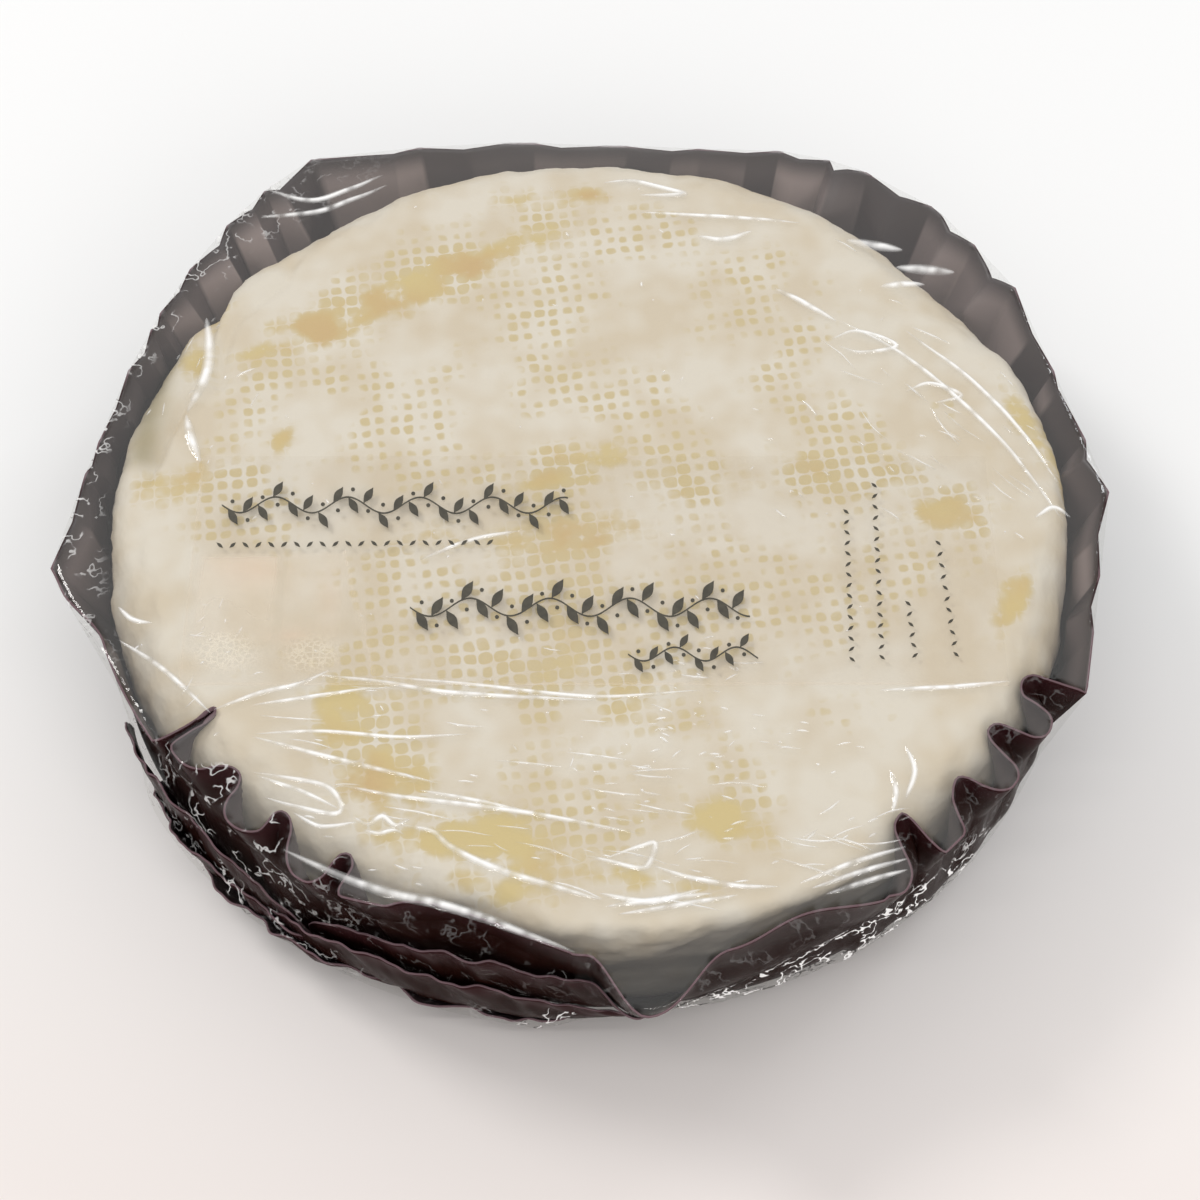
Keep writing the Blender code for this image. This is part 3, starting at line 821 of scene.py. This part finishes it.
def film_edge_radius(azimuth):
    return np.interp(azimuth % 360.0, FILM_AZIMUTHS, FILM_RADII, period=360.0) + FILM_GAP


def film_top_height(points):
    """The film's height over places on the top; points are x, y from the wheel's axis."""
    radius = np.hypot(points[:, 0], points[:, 1])
    azimuth = np.degrees(np.arctan2(points[:, 1], points[:, 0])) % 360.0
    edge = film_edge_radius(azimuth)
    share = np.clip((radius - SLOPE_START) / (edge - SLOPE_START), 0.0, 1.0)
    height = FILM_TOP + (rim_height(azimuth) + 0.0002 - FILM_TOP) * share ** 2.5
    back = np.maximum(0.0, np.sin(np.radians(azimuth)))
    height -= (0.00012 + 0.00040 * back) * np.sin(math.pi * share)
    flat = np.concatenate([points, np.zeros((len(points), 1))], axis=1)
    soft = 0.00012 * lumps(flat * [1.0, 1.6, 1.0], 0.013, 2, 21) + 0.00003 * lumps(flat, 0.004, 2, 22)
    pull = 0.00013 * np.sin(np.radians(azimuth) * 47.0 + 3.0 * np.sin(np.radians(azimuth) * 3.0))
    return height + soft * (1.0 - 0.7 * share) + pull * share * (1.0 - share) * 2.0


def inside_line(points, corners):
    """Which points lie inside a closed line, by how often a ray to the right crosses it."""
    crossings = np.zeros(len(points), dtype=int)
    for (ax, ay), (bx, by) in zip(corners, np.roll(corners, -1, axis=0)):
        if ay != by:
            spans = (points[:, 1] < ay) != (points[:, 1] < by)
            crossings += spans & (points[:, 0] < ax + (points[:, 1] - ay) * (bx - ax) / (by - ay))
    return crossings % 2 == 1


def crinkle_strength(azimuth, height):
    """How crumpled the film is on its walls: most in front on the right, and on the left."""
    front = np.exp(-(turn_between(azimuth, 298.0) / 21.0) ** 4) * ease((0.0165 - height) / 0.005)
    left = np.exp(-(turn_between(azimuth, 178.0) / 18.0) ** 2)
    low_left = np.exp(-(turn_between(azimuth, 228.0) / 12.0) ** 2)
    corner = np.exp(-(turn_between(azimuth, 268.0) / 6.0) ** 2) * ease((0.0150 - height) / 0.008)
    back_left = np.exp(-(turn_between(azimuth, 142.0) / 14.0) ** 2) * ease((height - 0.012) / 0.006)
    return 0.06 + 1.7 * front + 0.8 * left + 0.5 * low_left + 0.9 * corner + 0.8 * back_left


def fold_room(azimuth, height):
    """How far the film stands off where the loose folds lie under it."""
    along = ease((azimuth - 202.0) / 12.0) * ease((273.0 - azimuth) / 10.0)
    high = 0.0009 * ease((0.0215 - height) / 0.004)
    low = 0.0011 * ease((0.0110 - height) / 0.003)
    return along * (high + low) * ease((height - 0.0002) / 0.0012)


def film_form(across, up):
    azimuth = 360.0 * across
    edge = film_edge_radius(azimuth)
    top_share = np.clip((up - WALL_END) / TOP_SHARE, 0.0, 1.0)
    wall_share = np.clip((up - UNDER_SHARE) / WALL_SHARE, 0.0, 1.0)
    floor_share = np.clip(up / UNDER_SHARE, 0.0, 1.0)
    on_top = up > WALL_END
    on_floor = up < UNDER_SHARE
    top_radius = (edge - 0.0002) * (1.0 - top_share)
    top_height = film_top_height(np.stack([top_radius * np.cos(np.radians(azimuth)),
                                           top_radius * np.sin(np.radians(azimuth))], axis=1))
    rim = rim_height(azimuth) + 0.0001
    wall_height = rim * wall_share
    line = flared_radius(CASE_BASE_RADIUS, edge - FILM_GAP, wall_height, azimuth)
    belly = wheel_side_radius(azimuth, wall_height, CASE_GAP) + FLUTE_DEPTH
    wall = np.maximum(line, belly) + CASE_THICKNESS + FILM_GAP * 0.5 + fold_room(azimuth, wall_height)
    wall = np.where(wall_height < CASE_FOOT, np.minimum(wall, FILM_WALL_FOOT + wall_height * 0.5), wall)
    floor_radius = FILM_HOLE + (FILM_WALL_FOOT - FILM_HOLE) * floor_share
    radius = np.where(on_top, top_radius, np.where(on_floor, floor_radius, wall))
    height = np.where(on_top, top_height, np.where(on_floor, 0.0, wall_height))
    points = polar(radius, azimuth, height)
    strength = np.minimum(crinkle_strength(azimuth, wall_height), FULL_CRINKLE)
    strength = strength * np.sin(math.pi * wall_share) ** 0.7
    strength = np.where(on_top | on_floor, 0.0, strength)
    crumple = np.abs(lumps(points * [1.0, 1.0, 1.8], 0.0030, 3, 31))
    points += outward(azimuth) * (CRINKLE_RISE * strength * crumple)[:, None]
    gather = 0.0005 * (1.0 + np.sin(np.radians(azimuth) * 60.0)) * np.sin(math.pi * floor_share)
    points[:, 2] += np.where(on_floor, gather * 0.6 + FILM_FLOOR, 0.0)
    points[:, 2] = np.maximum(points[:, 2], FILM_FLOOR)
    return points


film = shaped_grid("stretch_film", FILM_COLUMNS, FILM_ROWS, film_form)

# What the film's material reads: where it lies snug on the sheet, where it is crumpled and gets painted
# glints, and how much white is painted on it.
film_places = places_of(film.data)
turn = np.degrees(np.arctan2(film_places[:, 1] - AXIS_Y, film_places[:, 0] - AXIS_X)) % 360.0
reach = np.hypot(film_places[:, 0] - AXIS_X, film_places[:, 1] - AXIS_Y)
near_rim = reach > SLOPE_START
within = np.ones(len(film_places), dtype=bool)
within[near_rim] = inside_line(film_places[near_rim, :2] - [AXIS_X, AXIS_Y], RIM_LINE)
on_wall = np.where(within & (film_places[:, 2] > rim_height(turn) - 0.0004), 0.0, 1.0)
# Painted highlights: white glints are painted on the film along the rim at the left, and on its crumpled
# walls.
gathered = np.exp(-(turn_between(turn, 165.0) / 38.0) ** 4) * ease((reach - 0.0535) / 0.003)
crumpled = np.maximum(crinkle_strength(turn, film_places[:, 2]) * on_wall, 0.45 * gathered * (1.0 - on_wall))
# Painted reflection: a faint white painted on the film over the pocket in front, for its reflection and haze
# there.
pocket = np.exp(-(turn_between(turn, 276.0) / 9.0) ** 4) * ease((reach - 0.0530) / 0.002) * (1.0 - on_wall)
snug_here = on_wall * (1.0 - 0.05 * np.clip(crumpled, 0.0, 1.0)) + 0.45 * pocket
mark(film.data, snug=snug_here, crumpled=crumpled, milk=0.02 * pocket)

FILM_IOR = 1.70
FILM_HAZE = 0.030
CRINKLE_FINENESS = 460.0


def finish_clear(tree, surface, passing):
    """Ends a clear material; light on its way to and from what lies below is only dimmed a little."""
    rays = add_node(tree, "LightPath").outputs
    scattered = calculate(tree, "MAXIMUM", rays["Is Shadow Ray"], rays["Is Diffuse Ray"])
    dimmed = add_node(tree, "BsdfTransparent", Color=(passing, passing, passing, 1.0))
    add_node(tree, "OutputMaterial", add_node(tree, "MixShader", scattered, surface, dimmed))


clear, tree = new_material("clear_film")
outer_ior = calculate(tree, "MULTIPLY_ADD", add_node(tree, "NewGeometry").outputs["Backfacing"],
                      1.0 / FILM_IOR - FILM_IOR, FILM_IOR)
snug = marked(tree, "snug")
gloss_share = calculate(tree, "MULTIPLY", add_node(tree, "Fresnel", IOR=outer_ior),
                        calculate(tree, "MULTIPLY_ADD", snug, -0.98, 1.0))
ridges = crinkled(tree, CRINKLE_FINENESS)
# Painted highlights: thin white glints on the crinkles' ridges, in patches, where the film is crumpled.
sparse = soft_ramp(tree, noise_on(tree, object_place(tree), 330.0, 1.0), 0.45, 0.55)
sparkle = calculate(tree, "MULTIPLY", soft_ramp(tree, ridges, 0.84, 0.98), sparse)
placed_glints = calculate(tree, "MULTIPLY", sparkle, marked(tree, "crumpled"))
milky = calculate(tree, "ADD", placed_glints, marked(tree, "milk"))
haze = calculate(tree, "MULTIPLY_ADD", snug, -FILM_HAZE, FILM_HAZE)
# The white share: the painted glints and painted white, and the film's own haze.
glints_and_haze = calculate(tree, "ADD", milky, haze, clamp=True)
gloss = add_node(tree, "BsdfAnisotropic", Roughness=0.07, Normal=relief(tree, ridges, 0.3, 0.0001))
see_through = add_node(tree, "BsdfTransparent", Color=(0.97, 0.97, 0.965, 1.0))
white = add_node(tree, "BsdfDiffuse", Color=(0.95, 0.95, 0.95, 1.0))
glossy = add_node(tree, "MixShader", gloss_share, see_through, gloss)
finish_clear(tree, add_node(tree, "MixShader", glints_and_haze, glossy, white), 0.89)
film.data.materials.append(clear)
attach(film, "root")
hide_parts("clear_wrap")

# Creases of the film: where it is doubled it stands up in narrow ridges, with white painted along them as
# their glints.
# They run out from the folds that it was pulled by.

# Each crease: half width and height in metres, then the pixels of the photograph that it runs along.
CREASES = [
    (0.0006, 0.00030, [(206, 316), (209, 345), (205, 376), (187, 412)]),
    (0.0005, 0.00025, [(186, 414), (191, 438), (200, 462)]),
    (0.0003, 0.00018, [(118, 638), (165, 670), (210, 712)]),
    (0.0003, 0.00020, [(214, 709), (262, 692), (300, 683), (330, 670)]),
    (0.00025, 0.00018, [(252, 705), (305, 697), (353, 690), (376, 688)]),
    (0.0003, 0.00018, [(312, 674), (386, 682), (459, 693), (596, 700)]),
    (0.00025, 0.00016, [(382, 676), (470, 684), (593, 696), (700, 690)]),
    (0.00025, 0.00016, [(256, 734), (320, 731), (400, 737), (467, 734)]),
    (0.0003, 0.00018, [(253, 737), (330, 757), (438, 783)]),
    (0.0003, 0.00022, [(253, 772), (321, 784), (340, 802), (335, 813), (294, 805), (265, 796)]),
    (0.00025, 0.00018, [(256, 775), (300, 790), (338, 808)]),
    (0.0003, 0.00022, [(332, 789), (345, 786), (400, 796), (517, 811), (580, 822), (640, 833)]),
    (0.00025, 0.00015, [(420, 790), (470, 799), (526, 811)]),
    (0.00025, 0.00018, [(293, 812), (321, 825), (356, 822)]),
    (0.0003, 0.00022, [(354, 817), (368, 824), (382, 816), (395, 825), (410, 819)]),
    (0.00025, 0.00018, [(362, 829), (378, 833), (394, 830), (404, 834)]),
    (0.0004, 0.00028, [(400, 825), (432, 831), (450, 846), (488, 865), (547, 884), (602, 899)]),
    (0.0003, 0.00020, [(585, 855), (610, 861), (640, 868), (650, 862), (655, 843), (640, 846), (606, 858)]),
    (0.0003, 0.00020, [(654, 866), (690, 877), (740, 885), (780, 886)]),
    (0.00035, 0.00022, [(600, 893), (650, 901), (702, 889)]),
    (0.00035, 0.00022, [(606, 906), (660, 899), (712, 893)]),
    (0.0003, 0.00020, [(618, 914), (700, 901), (738, 894)]),
    (0.0003, 0.00020, [(800, 882), (850, 863), (906, 845)]),
    (0.0003, 0.00020, [(812, 887), (870, 868), (908, 857)]),
    (0.0003, 0.00020, [(826, 893), (880, 876), (908, 868)]),
    (0.0005, 0.00030, [(283, 848), (330, 870), (380, 889), (440, 903), (490, 919), (575, 951)]),
    (0.0004, 0.00022, [(775, 288), (800, 300), (836, 321)]),
    (0.0003, 0.00020, [(832, 339), (858, 331), (896, 345), (862, 352), (838, 346)]),
    (0.0003, 0.00020, [(906, 391), (930, 383), (961, 395), (935, 403)]),
    (0.0003, 0.00018, [(840, 321), (900, 352), (960, 400), (1010, 450), (1064, 520)]),
    (0.0003, 0.00018, [(905, 330), (970, 378), (1020, 428), (1060, 484)]),
    (0.0007, 0.00030, [(846, 238), (872, 243), (903, 248)]),
    (0.0007, 0.00030, [(896, 266), (925, 267), (955, 270)]),
    (0.0005, 0.00022, [(880, 287), (905, 283), (925, 283)]),
    (0.0004, 0.00022, [(604, 182), (630, 179), (652, 184), (684, 193), (640, 195)]),
    (0.0004, 0.00022, [(698, 236), (725, 239), (752, 231)]),
    (0.0003, 0.00018, [(1035, 517), (1054, 506), (1071, 516)]),
    (0.0003, 0.00018, [(118, 606), (132, 618), (152, 622)]),
    (0.0004, 0.00020, [(268, 187), (317, 196), (382, 171)]),
    (0.0004, 0.00020, [(260, 214), (321, 207), (386, 182)]),
    (0.0003, 0.00016, [(640, 212), (720, 216), (800, 222)]),
    (0.0003, 0.00016, [(420, 560), (470, 540), (520, 530)]),
    (0.0003, 0.00018, [(880, 690), (960, 686), (1010, 680)]),
    (0.0003, 0.00018, [(890, 770), (896, 790), (893, 812)]),
    (0.0003, 0.00018, [(905, 745), (915, 770), (905, 800)]),
]
CREASE_STEP = 0.0003
CREASE_WIDEN = 1.3
# The height at which a crease's painted glint is full.
CREASE_FULL_GLINT = 0.00016
CREASE_OFFSETS = (-1.0, -0.66, -0.33, 0.0, 0.33, 0.66, 1.0)
CREASE_SEED = 11
WRINKLE_REACH = 0.0530

# Fields of wrinkles too small to draw one by one: middle pixel, spread in pixels, heading in degrees
# and its spread, shortest and longest in metres, number.
WRINKLE_FIELDS = [((715, 738), (80, 42), -4.0, 22.0, 0.0004, 0.0018, 70),
                  ((540, 850), (200, 45), -11.0, 7.0, 0.0010, 0.0075, 36),
                  ((500, 730), (210, 45), -6.0, 7.0, 0.0010, 0.0080, 28),
                  ((830, 845), (90, 35), 22.0, 9.0, 0.0010, 0.0050, 20),
                  ((925, 395), (85, 80), -42.0, 10.0, 0.0012, 0.0065, 34),
                  ((205, 670), (40, 65), 40.0, 30.0, 0.0006, 0.0028, 16),
                  ((170, 330), (30, 60), 60.0, 25.0, 0.0006, 0.0030, 12),
                  ((600, 470), (400, 230), 10.0, 60.0, 0.0003, 0.0010, 56)]


def small_creases():
    """Short, nearly straight wrinkles that lie about the film's top in fields."""
    chance = random.Random(CREASE_SEED)
    found = []
    for (u, v), (spread_u, spread_v), turn, turn_spread, shortest, longest, number in WRINKLE_FIELDS:
        while number:
            x, y = seen_at(chance.gauss(u, spread_u), chance.gauss(v, spread_v), FILM_TOP)
            x, y = x - AXIS_X, y - AXIS_Y
            heading = math.radians(chance.gauss(turn, turn_spread))
            length = shortest + (longest - shortest) * chance.random() ** 2
            bend = chance.uniform(-0.06, 0.06) * length
            dx, dy = math.cos(heading), math.sin(heading)
            if math.hypot(x + 0.5 * length * dx, y + 0.5 * length * dy) > WRINKLE_REACH:
                continue
            number -= 1
            found.append((chance.uniform(0.00009, 0.00020), chance.uniform(0.00006, 0.00015),
                          [(x, y), (x + 0.5 * length * dx - bend * dy, y + 0.5 * length * dy + bend * dx),
                           (x + length * dx, y + length * dy)]))
    return found


def crease_strip(half_width, rise, path, first):
    """A ridge along a path on the film's top: its points, painted glint and faces, numbered from first."""
    heading = np.gradient(path, axis=0)
    heading /= np.maximum(np.linalg.norm(heading, axis=1), 1e-9)[:, None]
    aside = np.stack([-heading[:, 1], heading[:, 0]], axis=1)
    share = np.linspace(0.0, 1.0, len(path))
    body = full_body(share)
    waver = 0.75 + 0.35 * np.sin(share * 17.0 + path[0][0] * 900.0)
    broken = np.clip(0.85 + 1.1 * lumps(np.column_stack([path, 0.0 * share]), 0.0016, 2, 61), 0.12, 1.0)
    points = []
    milk = []
    for offset in CREASE_OFFSETS:
        place = path + aside * (offset * half_width * body)[:, None]
        ridge = math.cos(math.pi / 2 * offset) ** 2
        height = film_top_height(place) + rise * waver * body * ridge - 0.00002 * abs(offset)
        points.append(np.column_stack([place + [AXIS_X, AXIS_Y], height]))
        # Painted highlight: white along the ridge's crest, fuller on higher creases and broken along its run.
        milk.append(min(1.0, rise / CREASE_FULL_GLINT) * ridge * broken * body)
    count = len(path)
    rows = len(CREASE_OFFSETS)
    faces = [(first + row * count + i, first + row * count + i + 1,
              first + (row + 1) * count + i + 1, first + (row + 1) * count + i)
             for row in range(rows - 1) for i in range(count - 1)]
    return np.concatenate(points), np.concatenate(milk), faces


drawn = [(CREASE_WIDEN * half_width, rise,
          [(x - AXIS_X, y - AXIS_Y) for x, y in (seen_at(u, v, FILM_TOP) for u, v in pixels)])
         for half_width, rise, pixels in CREASES]
crease_points = []
crease_milk = []
crease_faces = []
count = 0
for half_width, rise, route in drawn + small_creases():
    strip, milk, strip_faces = crease_strip(half_width, rise, smooth_path(route, CREASE_STEP), count)
    crease_points.append(strip)
    crease_milk.append(milk)
    crease_faces += strip_faces
    count += len(strip)
crease_mesh = bpy.data.meshes.new("film_creases")
crease_mesh.from_pydata(np.concatenate(crease_points).tolist(), [], crease_faces)
crease_mesh.shade_smooth()
mark(crease_mesh, milk=np.concatenate(crease_milk))
creases = bpy.data.objects.new("film_creases", crease_mesh)
bpy.context.scene.collection.objects.link(creases)
crease_mesh.materials.append(clear)
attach(creases, "root")

# The clear label: a sheet of label film stuck on the wrap, milky where its glue has clouded.
# Two patches of small bubbles lie under its front edge.
LABEL_LEFT, LABEL_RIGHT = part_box("clear_label")[0][0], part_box("clear_label")[1][0]
LABEL_FRONT, LABEL_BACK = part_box("clear_label")[0][1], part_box("clear_label")[1][1]
LABEL_LIFT = 0.00012
LABEL_COLUMNS = 300
LABEL_ROWS = 90
LABEL_MILK = 0.14


def label_form(across, up):
    x = LABEL_LEFT + (LABEL_RIGHT - LABEL_LEFT) * across
    y = LABEL_FRONT + (LABEL_BACK - LABEL_FRONT) * up
    height = film_top_height(np.stack([x - AXIS_X, y - AXIS_Y], axis=1)) + LABEL_LIFT
    return np.stack([x, y, height], axis=1)


label = shaped_grid("label_sheet", LABEL_COLUMNS, LABEL_ROWS, label_form)

# Milky patches: left upper and right lower pixel, strength. The spots are in the form of the ripe ones.
MILKY_PATCHES = [((192, 556), (279, 642), 0.70), ((279, 552), (347, 640), 0.42),
                 ((347, 640), (840, 684), 0.16)]
BUBBLE_PATCHES = [((226, 655), 0.0046, 0.0029, 1.0, 0), ((312, 657), 0.0040, 0.0027, 1.0, 0)]
BLUSH_SPOTS = [((250, 572), 0.0036, 0.0022, 0.7, 0), ((290, 640), 0.0020, 0.0012, 1.0, 0),
               ((330, 600), 0.0014, 0.0040, 0.5, 0), ((318, 490), 0.0008, 0.0030, 0.6, 20)]
LABEL_FOLD = [(345, 553), (352, 590), (362, 622), (375, 682)]
label_places = places_of(label.data)
milk = np.zeros(len(label_places))
for (left, top), (right, bottom), strength in MILKY_PATCHES:
    low_x, low_y = seen_at(left, bottom, FILM_TOP)
    high_x, high_y = seen_at(right, top, FILM_TOP)
    inside = np.minimum(np.minimum(label_places[:, 0] - low_x, high_x - label_places[:, 0]),
                        np.minimum(label_places[:, 1] - low_y, high_y - label_places[:, 1]))
    milk = np.maximum(milk, strength * ease(inside / 0.0014 + 0.5))
milk = np.maximum(milk, LABEL_MILK * ease((LABEL_BACK - label_places[:, 1]) / 0.0120))
to_edge = np.minimum(np.minimum(label_places[:, 0] - LABEL_LEFT, LABEL_RIGHT - label_places[:, 0]),
                     np.minimum(label_places[:, 1] - LABEL_FRONT, LABEL_BACK - label_places[:, 1]))
# Painted highlight: a pale line along the label's front edge, fainter along its left edge.
near_front = ease((LABEL_FRONT + 0.0010 - label_places[:, 1]) / 0.0010)
near_left = ease((LABEL_LEFT + 0.0010 - label_places[:, 0]) / 0.0010)
edge_highlight = np.exp(-(to_edge / 0.00022) ** 2) * np.maximum(near_front, 0.6 * near_left)
fold_path = traced(LABEL_FOLD, FILM_TOP, 0.0004)
fold_line = np.exp(-(away_from(label_places, fold_path) / 0.00024) ** 2)
bubbled = np.clip(2.2 * spot_strength(label_places, BUBBLE_PATCHES) - 0.7, 0.0, 1.0)
mark(label.data, milk=milk, lines=np.maximum(edge_highlight, fold_line), bubbled=bubbled,
     blush=spot_strength(label_places, BLUSH_SPOTS))

LABEL_TONE, BLUSH_TONE, BUBBLE_TONE = colour(216, 203, 184), colour(226, 196, 172), colour(236, 226, 206)
label_skin, tree = new_material("label_film")
place = object_place(tree)
blush_here = marked(tree, "blush")
glue = ramp(tree, noise_on(tree, place, 140.0, 1.0), 0.3, 0.7, 0.35, 0.70)
clouded = calculate(tree, "MULTIPLY", marked(tree, "milk"), glue)
blushing = calculate(tree, "MULTIPLY_ADD", blush_here, 0.07, clouded)
# The lines whiten the label: the painted highlight on its edge and a pale line along its fold.
lined = calculate(tree, "MULTIPLY_ADD", marked(tree, "lines"), 0.30, blushing)
bubbles = add_node(tree, "TexVoronoi", feature="DISTANCE_TO_EDGE", Vector=place, Scale=1500.0)
ring = soft_ramp(tree, bubbles.outputs["Distance"], 0.22, 0.04)
ringed = calculate(tree, "MULTIPLY", ring, marked(tree, "bubbled"))
cover = calculate(tree, "MULTIPLY_ADD", ringed, 0.26, lined, clamp=True)
toned = blend(tree, ringed, blend(tree, blush_here, LABEL_TONE, BLUSH_TONE), BUBBLE_TONE)
surface = add_node(tree, "BsdfPrincipled", Base_Color=toned, Roughness=0.3,
                   Normal=relief(tree, crinkled(tree, 120.0), 0.25, 0.0002))
clear_part = add_node(tree, "BsdfTransparent", Color=(0.985, 0.98, 0.975, 1.0))
finish_clear(tree, add_node(tree, "MixShader", cover, clear_part, surface), 0.97)
label.data.materials.append(label_skin)
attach(label, "root")
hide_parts("clear_label")

# The label's print: thin dark ink, a little worn, printed on the label's upper face.
# It is three vines with leaves and berries, and five rows of short strokes.
LEAF_STEPS = 9
PRINT_LIFT = 0.00004
INK_DARK, INK_WORN = colour(44, 42, 36), colour(84, 80, 68)

# Vines: first, last and middle pixel, sway and wave in pixels, length of a leaf.
VINE_ROWS = [(222, 568, 506, 8.0, 72.0, 19.0), (410, 750, 608, 9.0, 80.0, 23.0),
             (628, 758, 655, 7.0, 62.0, 17.0)]
VINE_STEP = 3.0
VINE_HALF = 0.9
BERRY_RADIUS = 2.1
BERRY_SIDES = 12

# Rows of strokes: first and last pixel, number, length.
HATCH_ROWS = [((220, 546), (490, 543), 22, 9.0), ((846, 512), (852, 660), 15, 8.0),
              ((874, 486), (882, 658), 17, 8.0), ((908, 604), (915, 656), 6, 8.0),
              ((938, 544), (956, 655), 11, 8.0)]
print_points = []
print_faces = []


def print_leaf(u, v, length, width, turn):
    """One pointed leaf about a pixel, its length along a turn in degrees."""
    share = np.linspace(0.0, 1.0, LEAF_STEPS)
    half = width / 2.0 * np.sin(math.pi * share) ** 1.3
    along = np.concatenate([share, share[-2:0:-1]]) * length - length / 2.0
    aside = np.concatenate([half, -half[-2:0:-1]])
    angle = math.radians(turn)
    across = u + along * math.cos(angle) - aside * math.sin(angle)
    down = v - along * math.sin(angle) - aside * math.cos(angle)
    print_patch(zip(across, down))


def print_patch(pixels):
    """One flat patch of ink whose outline runs along pixels."""
    spots = np.array([seen_at(*pixel, FILM_TOP) for pixel in pixels])
    height = film_top_height(spots - [AXIS_X, AXIS_Y]) + LABEL_LIFT + PRINT_LIFT
    print_faces.append(tuple(range(len(print_points), len(print_points) + len(spots))))
    print_points.extend(np.column_stack([spots, height]).tolist())


for first_u, last_u, row_v, sway, wave, leaf in VINE_ROWS:
    steps = round((last_u - first_u) / VINE_STEP)
    run = np.linspace(first_u, last_u, steps + 1)
    line = row_v + sway * np.sin(2.0 * math.pi * (run - first_u) / wave)
    for index in range(steps):
        print_patch([(run[index], line[index] - VINE_HALF), (run[index + 1], line[index + 1] - VINE_HALF),
                     (run[index + 1], line[index + 1] + VINE_HALF), (run[index], line[index] + VINE_HALF)])
    for index in range(2, steps - 1, 5):
        side = 1.0 if index % 2 else -1.0
        turn = side * 58.0
        print_leaf(run[index] + 0.5 * leaf * math.cos(math.radians(turn)),
                   line[index] - 0.5 * leaf * math.sin(math.radians(turn)), leaf, 0.42 * leaf, turn)
        berry_u, berry_v = run[index] + 0.25 * leaf, line[index] + side * 0.40 * leaf
        print_patch([(berry_u + BERRY_RADIUS * math.cos(2.0 * math.pi * corner / BERRY_SIDES),
                      berry_v + BERRY_RADIUS * math.sin(2.0 * math.pi * corner / BERRY_SIDES))
                     for corner in range(BERRY_SIDES)])
for (start_u, start_v), (end_u, end_v), number, length in HATCH_ROWS:
    for index in range(number):
        share = index / (number - 1)
        print_leaf(start_u + (end_u - start_u) * share, start_v + (end_v - start_v) * share, length,
                   length * 0.36, 40.0 if index % 2 else -40.0)
print_mesh = bpy.data.meshes.new("label_print")
print_mesh.from_pydata(print_points, [], print_faces)
label_print = bpy.data.objects.new("label_print", print_mesh)
bpy.context.scene.collection.objects.link(label_print)
ink, tree = new_material("print_ink")
worn = noise_on(tree, object_place(tree), 1400.0, 2.0)
finish_opaque(tree, Base_Color=blend(tree, worn, INK_DARK, INK_WORN), Roughness=0.5)
print_mesh.materials.append(ink)
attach(label_print, "root")
